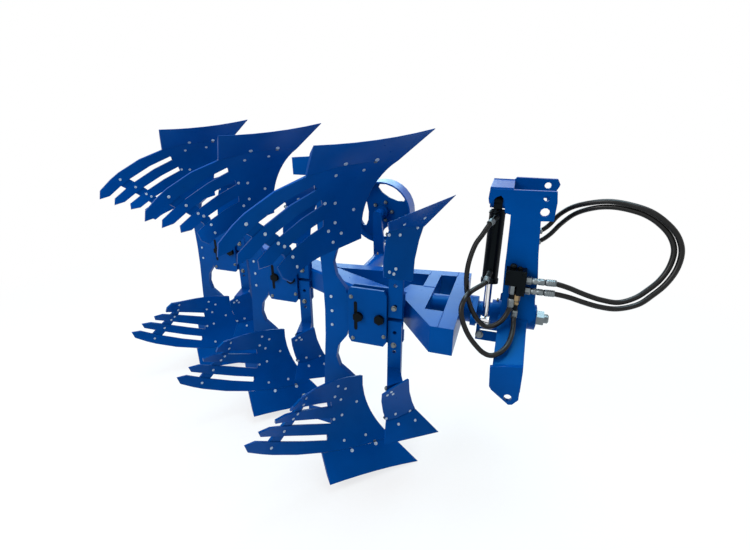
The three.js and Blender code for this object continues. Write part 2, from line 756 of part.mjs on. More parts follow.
function headstock() {
  const mastX = (share) => mastStart + share * mastLength;
  const inside = plateThickness / 2;
  const nearHoles = [
    [mastX(0.842), mastTop * 0.951, linkPinRadius * 0.67], [mastX(0.846), mastTop * 0.861, linkPinRadius],
  ];
  const near = plateXZ(mastPoints(nearMastShare), nearPlateFace, plateThickness, nearHoles);
  const farLow = plateXZ(mastPoints(farMastShare), farPlateFace, plateThickness,
    [[mastX(0.846), mastTop * 0.861, linkPinRadius]]);
  const earTop = mastTop + farEarRise;
  const farEar = plateXZ([
    [mastX(0.367), mastTop * 0.88], [mastX(0.971), mastTop * 0.88], [mastX(1.06), earTop - 3 * farEarRise],
    [mastX(1.075), earTop - 2 * farEarRise], [mastX(1.03), earTop], [mastX(0.4), earTop], [mastX(0.367), mastTop],
    [mastX(0.042), mastTop], [mastX(0.042), mastTop - 2 * plateThickness], [mastX(0.367), mastTop - 2 * plateThickness],
  ], farPlateFace, plateThickness, [[mastX(0.892), mastTop * 0.97, linkPinRadius * 0.8]]);
  const roof = plateXY([
    [mastX(0.042), nearPlateFace + inside], [mastX(0.38), nearPlateFace + inside],
    [mastX(0.38), farPlateFace + inside], [mastX(0.042), farPlateFace + inside],
  ], mastTop - plateThickness, plateThickness * 0.95);
  const webHeight = webDepth * 0.4;
  const webs = [0.42, 0.76].map((share) => block(
    [mastX(share), mastX(share) + plateThickness],
    [nearPlateFace + inside, farPlateFace + inside],
    [-webHeight, webDepth - webHeight / 3]));
  const housing = bar([housingStart, spindleY, 0], [housingEnd, spindleY, 0], housingRadius);
  const bore = bar([housingStart - overrun, spindleY, 0], [housingEnd + overrun, spindleY, 0],
    around(shaftRadius + slip, roundSides));
  const band = legBandShare.map(([y, z]) => [nearPlateFace + y * hitchReach, z * hitchDrop]);
  const splay = plateYZ(band, mastX(0.385), mastLength * 0.44);
  const ear = plateXZ(mastPoints(earShare), nearPlateFace - hitchReach, plateThickness,
    [[mastX(0.663), -hitchDrop * 0.865, hitchPinRadius]]);
  const lugs = [cylinderX - eyeWidth / 2 - seat - lugThickness, cylinderX + eyeWidth / 2 + seat].map((back) => lug(back));
  const holderX = mastX(connectorShare);
  const holder = plateYZ([
    [farPlateFace + inside, valveBottom + 0.95 * valveHeight], [connectorY + connectorRadius, valveBottom + 0.95 * valveHeight],
    [connectorY + connectorRadius, valveBottom + 2.9 * valveHeight], [farPlateFace + inside, valveBottom + 2.9 * valveHeight],
  ], holderX, holderThickness, connectorRows.map((z) => [connectorY, z, connectorNose + seat]));
  const body = join(near, farLow, farEar, roof, ...webs, housing, splay, acrossMast(splay), ear, acrossMast(ear),
    ...lugs, holder);
  return cut(body, bore);
}

// Turnover stop: angle bracket against the mast's front web, under the shaft
function turnoverStop() {
  const top = -housingRadius - seat;
  const end = mastStart + 0.42 * mastLength - seat;
  const whole = plateYZ([
    [spindleY - housingRadius, top - stopDepth], [spindleY + housingRadius, top - stopDepth],
    [spindleY + housingRadius * 0.7, top], [spindleY - housingRadius * 0.7, top],
  ], stopStart, end - stopStart);
  const room = block([stopStart + plateThickness, end + overrun],
    [spindleY - housingRadius * 0.8, spindleY + housingRadius * 2], [top - stopDepth - overrun, top - plateThickness]);
  return cut(whole, room);
}

function lug(back) {
  const outline = [[spindleY + lugRadius, mastTop - plateThickness * 0.6], [spindleY - lugRadius, mastTop - plateThickness * 0.6]];
  const steps = roundSides / 2;
  for (let i = 0; i <= steps; i += 1) {
    const turn = Math.PI * (1 + i / steps);
    outline.push([spindleY + lugRadius * Math.cos(turn), cylinderPinZ + lugRadius * Math.sin(turn)]);
  }
  return plateYZ(outline, back, lugThickness, [[spindleY, cylinderPinZ, topPinRadius + seat]]);
}

// Turnover cylinder, drawn hanging from its top pin and then swung towards the crank pin
const cylinderRun = Math.hypot(crankRadius, cylinderPinZ);
const cylinderSwing = -Math.atan2(crankRadius, cylinderPinZ);
const upperPortShare = 0.2;
const lowerPortShare = 0.86;
const upperPortTiltShare = [-1.1, -2.3, -1.4];
const lowerPortTiltShare = [-0.6, -2.4, -1.6];

function barrel() {
  const shoulder = lugRadius + slip * 8;
  const boreTop = barrelLength - rodEngaged - rodStroke - overrun;
  const gland = barrelBore / 2;
  const rodBore = around(rodRadius + slip, roundSides);
  const profile = [
    [0, -shoulder], [barrelRadius * 0.8, -shoulder], [barrelRadius, -shoulder - barrelRadius / 4],
    [barrelRadius, -barrelLength], [rodBore, -barrelLength], [rodBore, -barrelLength + gland],
    [barrelBore, -barrelLength + gland], [barrelBore, -boreTop], [0, -boreTop],
  ].map(([r, z]) => new THREE.Vector2(r, z));
  const tube = new THREE.LatheGeometry(profile, roundSides).rotateX(Math.PI / 2);
  const half = eyeWidth / 2;
  const neck = block([-half, half], [-eyeRadius * 0.8, eyeRadius * 0.8], [-shoulder - gland, -eyeRadius / 2]);
  const eye = bar([-half, 0, 0], [half, 0, 0], eyeRadius);
  const hole = bar([-half - overrun, 0, 0], [half + overrun, 0, 0], around(topPinRadius + seat, roundSides));
  const port = (share, tilt) => {
    const z = -share * barrelLength;
    const out = -barrelRadius - portRadius * 1.8;
    const elbow = new THREE.SphereGeometry(portRadius * 1.15, boltSides, boltSides / 2 - 1).translate(0, out, z);
    const boss = bar([0, -barrelRadius + portRadius / 2, z], [0, out, z], portRadius, boltSides);
    const end = [tilt[0] * portRadius, out + tilt[1] * portRadius, z + tilt[2] * portRadius];
    return [elbow, boss, bar([0, out, z], end, portRadius, boltSides)];
  };
  const upper = port(upperPortShare, upperPortTiltShare);
  const lower = port(lowerPortShare, lowerPortTiltShare);
  return cut(join(tube, neck, eye, ...upper, ...lower), hole);
}

function pistonRod() {
  const top = -barrelLength + rodEngaged;
  const half = eyeWidth / 2;
  const rod = bar([0, 0, -cylinderRun], [0, 0, top], rodRadius);
  const eye = bar([-half + seat, 0, -cylinderRun], [half, 0, -cylinderRun], eyeRadius);
  const hole = bar([-half - overrun, 0, -cylinderRun], [half + overrun, 0, -cylinderRun],
    around(crankPinRadius + seat, roundSides));
  return cut(join(rod, eye), hole);
}

function topPin() {
  const reach = eyeWidth / 2 + lugThickness + topPinRadius / 2;
  const headX = cylinderX + reach;
  const pin = bar([cylinderX - reach, spindleY, cylinderPinZ], [headX, spindleY, cylinderPinZ], topPinRadius);
  const head = bar([headX - topPinRadius / 2 + seat, spindleY, cylinderPinZ], [headX, spindleY, cylinderPinZ], topPinRadius * 1.5);
  return join(pin, head);
}

// Valve block with two fittings forward for the tractor hoses and two down for the cylinder
const valveY = nearPlateFace - seat - valveDepth / 2;
const valveFront = valveStart + valveLength;
const valveTop = valveBottom + valveHeight;
const forwardRows = [valveBottom + 2 * nozzleRadius, valveBottom - 2 * nozzleRadius];
const forwardEnd = valveFront + nozzleReach;
const downColumnShare = [[0.41, 0.9], [0.66, 1.73]];
const downColumns = downColumnShare.map(([along, down], i) => [
  valveStart + along * valveLength, valveY - nozzleRadius * (1 - i), valveBottom - down * valveHeight,
]);

function valve() {
  const y = [valveY - valveDepth / 2, valveY + valveDepth / 2];
  const main = block([valveStart, valveFront], y, [valveBottom, valveTop]);
  const step = block([valveFront - valveLength / 2.5, valveFront], y, [valveBottom - valveHeight * 0.62, valveBottom + nozzleRadius]);
  const spool = bar([valveStart + valveLength / 3, valveY, valveTop], [valveStart + valveLength / 3, valveY, valveTop + nozzleRadius * 1.5],
    nozzleRadius, boltSides);
  const forward = forwardRows.map((z) => bar([valveFront - nozzleRadius, valveY, z], [forwardEnd, valveY, z], nozzleRadius, boltSides));
  const down = downColumns.map(([x, y0, z]) => bar([x, y0, valveBottom + nozzleRadius], [x, y0, z], nozzleRadius, boltSides));
  return join(main, step, spool, ...forward, ...down);
}

// Hoses: plain tubes along their real routes
const hoseStepLength = 48;
const connectorY = farPlateFace + plateThickness + connectorRadius + holderThickness;
const connectorRowShare = [1.58, 2.33];
const connectorRows = connectorRowShare.map((up) => valveBottom + up * valveHeight);
const connectorStart = mastStart + connectorShare * mastLength + holderThickness + seat;
const connectorEnd = connectorStart + connectorLength;

function hose(route) {
  const path = new THREE.CatmullRomCurve3(route.map((point) => new THREE.Vector3(...point)), false, "centripetal");
  const section = new THREE.Shape(ring(hoseRadius, 8).map(([a, b]) => new THREE.Vector2(a, b)));
  const steps = Math.round(path.getLength() / hoseStepLength);
  return new THREE.ExtrudeGeometry(section, { steps, bevelEnabled: false, extrudePath: path });
}

function connector(z) {
  const noseEnd = connectorStart - holderThickness * 2;
  const profile = [
    [0, 0], [connectorRadius * 0.8, 0], [connectorRadius, connectorLength * 0.1], [connectorRadius, connectorLength * 0.55],
    [connectorRadius * 0.8, connectorLength * 0.6], [connectorRadius * 0.8, connectorLength], [0, connectorLength],
  ].map(([r, x]) => new THREE.Vector2(r, x));
  const shell = new THREE.LatheGeometry(profile, boltSides).rotateZ(-Math.PI / 2).translate(connectorStart, connectorY, z);
  return join(shell, bar([noseEnd, connectorY, z], [connectorStart + connectorNose, connectorY, z], connectorNose, boltSides));
}

const hoseGap = seat;
const [downFirst, downSecond] = downColumns;
const barrelPoint = (share, out, tilt) => {
  const local = new THREE.Vector3(tilt[0], out + tilt[1], -share * barrelLength + tilt[2]);
  return local.applyAxisAngle(new THREE.Vector3(1, 0, 0), cylinderSwing).add(
    new THREE.Vector3(cylinderX, spindleY, cylinderPinZ)).toArray();
};
const portOut = -barrelRadius - portRadius * 1.8;
const portEnd = (share, tilt, extra) => {
  const way = new THREE.Vector3(...tilt).normalize();
  const reach = new THREE.Vector3(...tilt).length() * portRadius + extra;
  return barrelPoint(share, portOut, way.multiplyScalar(reach).toArray());
};
const lengthenHoseRoute = [
  [downFirst[0], downFirst[1], downFirst[2] - hoseGap], [downFirst[0], downFirst[1], 110], [578, 68, 80], [560, 56, 46], [535, 50, 24],
  [506, 48, 15], [477, 48, 34], [452, 50, 66], [430, 54, 114], [418, 56, 172], [415, 62, 232], [422, 76, 284],
  [436, 92, 330], [455, 104, 362], portEnd(upperPortShare, upperPortTiltShare, 22),
  portEnd(upperPortShare, upperPortTiltShare, hoseGap),
];
const shortenHoseRoute = [
  [downSecond[0], downSecond[1], downSecond[2] - hoseGap], [downSecond[0], downSecond[1], 62], [604, 64, 36], [602, 22, 12], [589, -30, -8],
  [564, -58, -26], [535, -64, -46], [500, -64, -28], [459, -62, 4], [427, -58, 50], [416, -52, 86], [414, -42, 121],
  [423, -16, 150], [440, 30, 162], portEnd(lowerPortShare, lowerPortTiltShare, 26),
  portEnd(lowerPortShare, lowerPortTiltShare, hoseGap),
];
const upperTractorRoute = [
  [forwardEnd + hoseGap, valveY, forwardRows[0]], [725, valveY, forwardRows[0]], [772, 84, 200], [811, 88, 186],
  [847, 92, 174], [888, 98, 163], [945, 108, 157], [996, 120, 177], [1032, 132, 208], [1064, 145, 245], [1086, 158, 295],
  [1090, 172, 349], [1072, 188, 392], [1036, 205, 427], [992, 222, 451], [931, 245, 463], [884, 262, 463],
  [838, 280, 452], [783, 312, 420], [741, 345, 368], [702, connectorY - 3, 312], [669, connectorY, connectorRows[0]],
  [connectorEnd + hoseGap, connectorY, connectorRows[0]],
];
const lowerTractorRoute = [
  [forwardEnd + hoseGap, valveY, forwardRows[1]], [730, valveY, forwardRows[1]], [780, 82, 164], [830, 82, 152],
  [880, 84, 142], [940, 93, 138], [1006, 105, 160], [1045, 118, 195], [1080, 131, 237], [1104, 144, 292],
  [1108, 158, 351], [1089, 174, 399], [1051, 191, 438], [1003, 210, 467], [936, 236, 482], [880, 256, 484],
  [822, 280, 470], [765, 316, 441], [725, 348, 398], [696, connectorY, 352], [669, connectorY, connectorRows[1]],
  [connectorEnd + hoseGap, connectorY, connectorRows[1]],
];

// Gauge wheel on a swinging arm at the far side
const wheelBack = pivotX - wheelX;
const armReach = Math.hypot(wheelBack, wheelRise);

function wheel() {
  const half = wheelWidth / 2;
  const inner = wheelRadius - wheelWall;
  const disc = discThickness / 2;
  const offset = wheelWidth * 0.05;
  const axleBore = around(axleRadius + slip, wheelSides);
  const profile = [
    [hubRadius, -half * 0.5], [hubRadius, offset - disc], [inner, offset - disc], [inner, -half], [wheelRadius, -half],
    [wheelRadius, half], [inner, half], [inner, offset + disc], [hubRadius, offset + disc], [hubRadius, half * 0.5],
    [axleBore, half * 0.5], [axleBore, -half * 0.5], [hubRadius, -half * 0.5],
  ].map(([r, y]) => new THREE.Vector2(r, y));
  const body = new THREE.LatheGeometry(profile, wheelSides);
  const windowAlong = wheelRadius * 0.5;
  const windowDeep = wheelRadius * 0.18;
  const windowAt = wheelRadius * 0.68;
  const windowTurnShare = 0.18;
  const windows = Array.from({ length: 3 }, (_, i) => {
    const oval = ring(1, boltSides).map(([a, b]) => [windowAt + a * windowDeep, b * windowAlong]);
    const tool = plateXZ(oval, -half, wheelWidth);
    return tool.rotateY(-2 * Math.PI * (windowTurnShare + i / 3));
  });
  return cut(body, ...windows);
}

function wheelArm() {
  const start = armPlane - armThickness / 2;
  const end = armPlane + armThickness / 2;
  const hubLength = armThickness * 3;
  const outline = [];
  const steps = roundSides / 2;
  const half = armWidth / 2;
  for (let i = 0; i <= steps; i += 1) {
    const turn = Math.PI * (-0.5 + i / steps);
    outline.push([half * Math.cos(turn), half * Math.sin(turn)]);
  }
  for (let i = 0; i <= steps; i += 1) {
    const turn = Math.PI * (0.5 + i / steps);
    outline.push([-armReach + half * 0.7 * Math.cos(turn), half * 0.7 * Math.sin(turn)]);
  }
  const tilt = Math.atan2(wheelRise, wheelBack);
  const flat = plateXZ(outline, start, armThickness).rotateY(tilt).translate(pivotX, 0, 0);
  const hub = bar([pivotX, end - hubLength, 0], [pivotX, end, 0], pivotHubRadius);
  const axle = bar([wheelX, armPlane, wheelRise], [wheelX, wheelDisc + wheelWidth * 0.45, wheelRise], axleRadius);
  const collar = bar([wheelX, armPlane, wheelRise], [wheelX, wheelDisc - wheelWidth / 4 - seat, wheelRise], axleRadius * 1.5);
  const bore = bar([pivotX, end - hubLength - overrun, 0], [pivotX, end + overrun, 0],
    around(pivotRadius + slip, roundSides));
  return cut(join(flat, hub, axle, collar), bore);
}

// Assembly
const plough = new THREE.Group();
const cords = new Set();

function add(name, geometry, material, place = [0, 0, 0], parent = plough) {
  const shown = bareMesh(geometry).toNonIndexed();
  shown.computeVertexNormals();
  const mesh = new THREE.Mesh(shown, material);
  mesh.name = name;
  mesh.position.set(...place);
  parent.add(mesh);
  return mesh;
}

const lowerBoard = mouldboard();
const lowerShare = shareBlade();
const lowerLandside = landside();
const lowerShank = shank();
const lowerSkimmer = skimmerBody();
const pairs = {
  mouldboard: [lowerBoard, mirrored(lowerBoard), blue],
  share: [lowerShare, mirrored(lowerShare), deepBlue],
  landside: [lowerLandside, mirrored(lowerLandside), deepBlue],
  skimmer_shank: [lowerShank, mirrored(lowerShank), blue],
  skimmer_body: [lowerSkimmer, mirrored(lowerSkimmer), blue],
};
const legGeometry = leg();
const bracketGeometry = bracket();
const boltGeometry = legBolt();

for (let i = 0; i < furrows; i += 1) {
  const body = new THREE.Group();
  body.position.set(-i * bodyPitch, i * furrowPitch, 0);
  plough.add(body);
  const number = i + 1;
  for (const [name, [lower, upper, material]] of Object.entries(pairs)) {
    add(`${name}_lower_${number}`, lower, material, [0, 0, 0], body);
    add(`${name}_upper_${number}`, upper, material, [0, 0, 0], body);
  }
  add(`leg_${number}`, legGeometry, blue, [0, 0, 0], body);
  add(`bracket_${number}`, bracketGeometry, blue, [0, 0, 0], body);
  add(`leg_bolt_rear_${number}`, boltGeometry, blackSteel, [0, 0, 0], body);
  add(`leg_bolt_front_${number}`, boltGeometry, blackSteel, [boltSpacing, 0, 0], body);
}

add("beam", beam(), blue);
add("front_frame", frontFrame(), blue);
add("turnover_spindle", spindle(), blue);
add("spindle_nut", spindleNut(), paleSteel);
add("headstock", headstock(), blue);
add("turnover_stop", turnoverStop(), blue);

const swing = new THREE.Group();
swing.position.set(cylinderX, spindleY, cylinderPinZ);
swing.rotation.x = cylinderSwing;
plough.add(swing);
add("cylinder_barrel", barrel(), blackSteel, [0, 0, 0], swing);
add("cylinder_rod", pistonRod(), chrome, [0, 0, 0], swing);
add("cylinder_pin", topPin(), paleSteel);
add("valve_block", valve(), blackSteel);
add("gauge_wheel", wheel(), blue, [wheelX, wheelDisc, wheelRise]);
add("wheel_arm", wheelArm(), blue);
add("cylinder_hose_upper", hose(lengthenHoseRoute), rubber);
add("cylinder_hose_lower", hose(shortenHoseRoute), rubber);
cords.add(add("tractor_hose_1", hose(upperTractorRoute), rubber));
cords.add(add("tractor_hose_2", hose(lowerTractorRoute), rubber));
cords.add(add("quick_connector_1", connector(connectorRows[0]), paleSteel));
cords.add(add("quick_connector_2", connector(connectorRows[1]), paleSteel));

// Set down: middle of the object's box over the origin, lower share points on z = 0
plough.updateMatrixWorld(true);
const extent = new THREE.Box3();
plough.traverse((item) => {
  if (item.isMesh && !cords.has(item)) {
    extent.expandByObject(item, true);
  }
});
const middle = extent.getCenter(new THREE.Vector3());
plough.position.set(-middle.x, -middle.y, -extent.min.z);

export default plough;
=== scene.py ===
import bpy
import bmesh
import json
import math
from mathutils import Matrix, Vector
from mathutils.bvhtree import BVHTree


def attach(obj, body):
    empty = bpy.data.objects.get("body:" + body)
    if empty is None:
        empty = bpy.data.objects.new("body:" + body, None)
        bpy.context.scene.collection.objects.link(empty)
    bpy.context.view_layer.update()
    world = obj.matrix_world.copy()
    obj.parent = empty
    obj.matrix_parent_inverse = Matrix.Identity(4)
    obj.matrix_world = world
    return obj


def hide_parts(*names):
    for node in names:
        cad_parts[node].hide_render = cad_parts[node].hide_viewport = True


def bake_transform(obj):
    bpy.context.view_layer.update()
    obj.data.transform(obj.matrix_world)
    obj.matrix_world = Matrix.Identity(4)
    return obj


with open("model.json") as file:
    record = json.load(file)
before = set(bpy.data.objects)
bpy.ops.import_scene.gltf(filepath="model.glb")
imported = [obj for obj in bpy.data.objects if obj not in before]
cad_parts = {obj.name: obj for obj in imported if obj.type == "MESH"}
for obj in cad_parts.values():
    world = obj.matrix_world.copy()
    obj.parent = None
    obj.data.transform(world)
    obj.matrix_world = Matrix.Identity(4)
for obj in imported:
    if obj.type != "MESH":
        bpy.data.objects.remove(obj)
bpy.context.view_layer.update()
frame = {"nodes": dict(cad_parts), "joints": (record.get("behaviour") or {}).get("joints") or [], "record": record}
nodes = frame["nodes"]

# The plough's own frame is in millimetres from the front body's rear leg bolt. A point on
# the spindle's axis, in metres, sets it in the row frame.
SPINDLE_POINT = Vector((0.6, 0.22, 0.0))
turnover = next(j for j in frame["joints"] if j["name"] == "turnover")
SHIFT = Vector(turnover["pos_m"]) - SPINDLE_POINT

AHEAD = Vector((1, 0, 0))
NEAR = Vector((0, -1, 0))
FAR = Vector((0, 1, 0))
UP = Vector((0, 0, 1))


def placed(x, y, z):
    """A place in the plough's own frame, as a point of the row frame."""
    return Vector((x, y, z)) / 1000 + SHIFT


# Camera: fitted angles in degrees, place in the plough's own frame, focal length in pixels
CAMERA_YAW = 18.1506
CAMERA_PITCH = 21.8451
CAMERA_ROLL = 0.1903
CAMERA_PLACE = (548.0, -1453.8, 804.6)
FOCAL_PIXELS = 423.6
PHOTO_WIDTH = 750
SENSOR_WIDTH = 36
CLIP_START = 0.05


def add_camera():
    yaw, pitch, roll = (math.radians(a) for a in (CAMERA_YAW, CAMERA_PITCH, CAMERA_ROLL))
    ahead = Vector((-math.sin(yaw) * math.cos(pitch), math.cos(yaw) * math.cos(pitch), -math.sin(pitch)))
    flat = Vector((math.cos(yaw), math.sin(yaw), 0))
    up = flat.cross(ahead)
    right = flat * math.cos(roll) + up * math.sin(roll)
    up = up * math.cos(roll) - flat * math.sin(roll)
    data = bpy.data.cameras.new("camera")
    data.sensor_width = SENSOR_WIDTH
    data.lens = FOCAL_PIXELS / PHOTO_WIDTH * SENSOR_WIDTH
    data.clip_start = CLIP_START
    cam = bpy.data.objects.new("camera", data)
    cam.matrix_world = Matrix((right, up, -ahead)).transposed().to_4x4()
    cam.matrix_world.translation = placed(*CAMERA_PLACE)
    bpy.context.scene.collection.objects.link(cam)
    bpy.context.scene.camera = cam


add_camera()


# Materials
def new_material(name):
    mat = bpy.data.materials.new(name)
    mat.use_nodes = True
    tree = mat.node_tree
    return mat, tree, tree.nodes["Principled BSDF"]


def noise(tree, scale, detail=3.0):
    where = tree.nodes.new("ShaderNodeTexCoord")
    node = tree.nodes.new("ShaderNodeTexNoise")
    node.inputs["Scale"].default_value = scale
    node.inputs["Detail"].default_value = detail
    tree.links.new(where.outputs["Object"], node.inputs["Vector"])
    return node.outputs["Fac"]


def ramp(tree, source, low, high, start=0.3, end=0.7):
    node = tree.nodes.new("ShaderNodeValToRGB")
    node.color_ramp.elements[0].position = start
    node.color_ramp.elements[1].position = end
    node.color_ramp.elements[0].color = low
    node.color_ramp.elements[1].color = high
    tree.links.new(source, node.inputs["Fac"])
    return node.outputs["Color"]


def grey(value):
    return (value, value, value, 1)


def bump(tree, bsdf, source, strength, distance, edge=0.0):
    """Fine relief, with the solid's edges rounded to the eye where edge is a radius."""
    node = tree.nodes.new("ShaderNodeBump")
    node.inputs["Strength"].default_value = strength
    node.inputs["Distance"].default_value = distance
    tree.links.new(source, node.inputs["Height"])
    tree.links.new(node.outputs["Normal"], bsdf.inputs["Normal"])
    if edge:
        rounded = tree.nodes.new("ShaderNodeBevel")
        rounded.samples = 4
        rounded.inputs["Radius"].default_value = edge
        tree.links.new(rounded.outputs["Normal"], node.inputs["Normal"])


def enamel(name, dark, light, rough, shine, tint):
    """Sprayed enamel: a faint cloud in the colour, orange peel in the gloss."""
    mat, tree, bsdf = new_material(name)
    cloud = noise(tree, scale=5.0, detail=4.0)
    film = noise(tree, scale=40.0)
    peel = noise(tree, scale=420.0, detail=1.0)
    gloss = ramp(tree, film, grey(rough * 0.9), grey(rough * 1.15), start=0.25, end=0.75)
    tree.links.new(ramp(tree, cloud, dark, light), bsdf.inputs["Base Color"])
    tree.links.new(gloss, bsdf.inputs["Roughness"])
    bsdf.inputs["Specular IOR Level"].default_value = shine
    bsdf.inputs["Specular Tint"].default_value = tint
    bump(tree, bsdf, peel, strength=0.1, distance=0.0002, edge=0.0014)
    return mat


def metal(name, dark, light, smooth, rough, grain, strength=0.15):
    """Plated or turned steel: bright and dull patches over fine grain."""
    mat, tree, bsdf = new_material(name)
    bsdf.inputs["Metallic"].default_value = 1.0
    patch = noise(tree, scale=30.0, detail=4.0)
    tree.links.new(ramp(tree, patch, dark, light), bsdf.inputs["Base Color"])
    tree.links.new(ramp(tree, patch, grey(smooth), grey(rough)), bsdf.inputs["Roughness"])
    bump(tree, bsdf, noise(tree, scale=grain, detail=2.0), strength, distance=0.0003)
    return mat


def rubber(name):
    """Hose cover: dull black with the fine cloth print of its wrapping."""
    mat, tree, bsdf = new_material(name)
    worn = noise(tree, scale=60.0, detail=4.0)
    tree.links.new(ramp(tree, worn, grey(0.0015), grey(0.005)), bsdf.inputs["Base Color"])
    tree.links.new(ramp(tree, worn, grey(0.24), grey(0.4)), bsdf.inputs["Roughness"])
    bsdf.inputs["Specular IOR Level"].default_value = 0.26
    bump(tree, bsdf, noise(tree, scale=900.0, detail=1.0), strength=0.22, distance=0.0003)
    return mat


def bare_bolt(name):
    """Bolt face with its paint worn through: part metal, part dull film."""
    mat, tree, bsdf = new_material(name)
    bsdf.inputs["Metallic"].default_value = 0.55
    colour = ramp(tree, noise(tree, scale=200.0), (0.27, 0.36, 0.48, 1), (0.46, 0.55, 0.66, 1))
    tree.links.new(colour, bsdf.inputs["Base Color"])
    tree.links.new(ramp(tree, noise(tree, scale=160.0), grey(0.35), grey(0.5)), bsdf.inputs["Roughness"])
    return mat


BLUE = enamel(
    "blue_enamel_paint", (0.0, 0.042, 0.21, 1), (0.0, 0.054, 0.265, 1), rough=0.3, shine=0.15,
    tint=(0.03, 0.6, 1, 1))
BLACK = enamel(
    "black_enamel_paint", (0.0010, 0.0010, 0.0012, 1), (0.0022, 0.0022, 0.0025, 1), rough=0.3, shine=0.1,
    tint=(0.6, 0.85, 1, 1))
CHROME = metal(
    "chrome_plate", (0.72, 0.73, 0.75, 1), (0.82, 0.83, 0.85, 1), smooth=0.07, rough=0.12, grain=500.0,
    strength=0.03)
STEEL = metal(
    "zinc_plated_steel", (0.115, 0.14, 0.15, 1), (0.21, 0.235, 0.245, 1), smooth=0.34, rough=0.46,
    grain=300.0)
BRASS = metal(
    "brass_fitting", (0.22, 0.155, 0.08, 1), (0.34, 0.255, 0.14, 1), smooth=0.3, rough=0.42, grain=300.0)
RUBBER = rubber("hose_rubber_cover")
BARE = bare_bolt("bare_bolt_face")

# Material of each slot of the solids
FINISH = {
    "blue_enamel": BLUE,
    "black_paint": BLACK,
    "chrome": CHROME,
    "bright_steel": STEEL,
    "hose_rubber": RUBBER,
}

# Material and slot of the pieces made here
PAINTED = (BLUE, "blue_enamel")
BLACKENED = (BLACK, "black_paint")
PLATED = (STEEL, "bright_steel")
WORN = (BARE, "bright_steel")
BRAZEN = (BRASS, "bright_steel")
COVER = (RUBBER, "hose_rubber")
WIPER = (RUBBER, "black_paint")

slot_of = {}
for part in frame["record"]["materials"]:
    for name in part.get("nodes", []):
        slot_of[name] = part["slot"]
for name, obj in nodes.items():
    for entry in obj.material_slots:
        found = [s for s in FINISH if entry.material and entry.material.name.startswith(s)]
        entry.material = FINISH[found[0] if found else slot_of.get(name, "blue_enamel")]

SMOOTH_ANGLE = math.radians(35.0)
SPOTS_PER_METRE = 20000
SLIVER_AREA = 1e-7
LEAST_AGREEMENT = 0.01


def soften(obj):
    """Shade the node's curved faces smooth and keep its real edges sharp; no vertex moves.
    A sliver beside a hole takes the direction of the large face that it belongs to."""
    mesh = obj.data
    limit = math.cos(SMOOTH_ANGLE)
    spot = [tuple(round(c * SPOTS_PER_METRE) for c in v.co) for v in mesh.vertices]
    meeting = {}
    for poly in mesh.polygons:
        for index in poly.vertices:
            meeting.setdefault(spot[index], []).append((poly.normal.copy(), poly.area))
    normals = []
    for poly in mesh.polygons:
        for index in poly.vertices:
            around = meeting[spot[index]]
            own = poly.normal
            if poly.area < SLIVER_AREA:
                own = max(around, key=lambda one: one[1] * max(one[0].dot(own), LEAST_AGREEMENT))[0]
            total = Vector()
            for normal, area in around:
                if normal.dot(own) > limit:
                    total += normal * area
            normals.append(total.normalized())
    mesh.normals_split_custom_set(normals)


for obj in nodes.values():
    soften(obj)


# Mesh helpers
def new_object(name, bm, material):
    mesh = bpy.data.meshes.new(name)
    bm.normal_update()
    bm.to_mesh(mesh)
    bm.free()
    mesh.materials.append(material)
    obj = bpy.data.objects.new(name, mesh)
    bpy.context.scene.collection.objects.link(obj)
    return obj


def link(name, bm, finish, body):
    """The finished piece, in its material, on the body that it rides."""
    material, slot = finish
    obj = new_object(name, bm, material)
    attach(obj, body)
    return obj


def piece(name, draw, finish, body):
    bm = bmesh.new()
    draw(bm)
    return link(name, bm, finish, body)


def facing(point, normal):
    """A frame at point whose Z is normal."""
    return Matrix.Translation(point) @ Vector(normal).to_track_quat("Z", "Y").to_matrix().to_4x4()


def around_axis(place, radius, height, sides):
    angles = [math.tau * i / sides for i in range(sides)]
    return [place @ Vector((radius * math.cos(a), radius * math.sin(a), height)) for a in angles]


def turned(bm, place, profile, sides=20, smooth=True, ring=False):
    """A solid of revolution about the local Z of place; profile is (radius, height) from the
    axis out and back. A ring's profile goes round its section instead."""
    rows = []
    for radius, height in profile:
        if radius <= 0:
            rows.append([bm.verts.new(place @ Vector((0, 0, height)))])
        else:
            rows.append([bm.verts.new(point) for point in around_axis(place, radius, height, sides)])
    for low, high in zip(rows, rows[1:] + rows[:1] if ring else rows[1:]):
        for i in range(sides):
            j = (i + 1) % sides
            corners = [low[i % len(low)], low[j % len(low)], high[j % len(high)], high[i % len(high)]]
            corners = [v for k, v in enumerate(corners) if v not in corners[:k]]
            if len(corners) > 2:
                face = bm.faces.new(corners)
                face.smooth = smooth


def join_rings(bm, rings, smooth):
    """A closed tube through rings of vertices, with an end face on each end ring."""
    for low, high in zip(rings, rings[1:]):
        for k in range(len(low)):
            j = (k + 1) % len(low)
            bm.faces.new((low[k], low[j], high[j], high[k])).smooth = smooth
    bm.faces.new(list(reversed(rings[0])))
    bm.faces.new(rings[-1])


def sweep(bm, line, radii, sides):
    """A round tube with a radius for each point of line, its section carried without twist."""
    ahead = (line[1] - line[0]).normalized()
    across = ahead.orthogonal().normalized()
    angles = [math.tau * k / sides for k in range(sides)]
    rings = []
    for i, point in enumerate(line):
        after = (line[min(i + 1, len(line) - 1)] - line[max(i - 1, 0)]).normalized()
        across = (ahead.rotation_difference(after) @ across).normalized()
        ahead = after
        other = ahead.cross(across)
        section = [(across * math.cos(a) + other * math.sin(a)) * radii[i] for a in angles]
        rings.append([bm.verts.new(point + offset) for offset in section])
    join_rings(bm, rings, smooth=True)


# Weld beads: radii in metres, and the ripples as shares of the radius
WIDE_BEAD = 0.003
MIDDLE_BEAD = 0.0028
FINE_BEAD = 0.0022
BEAD_SIDES = 7
BEAD_STEP_SHARE = 0.7
BEAD_DIP_SHARE = 0.82


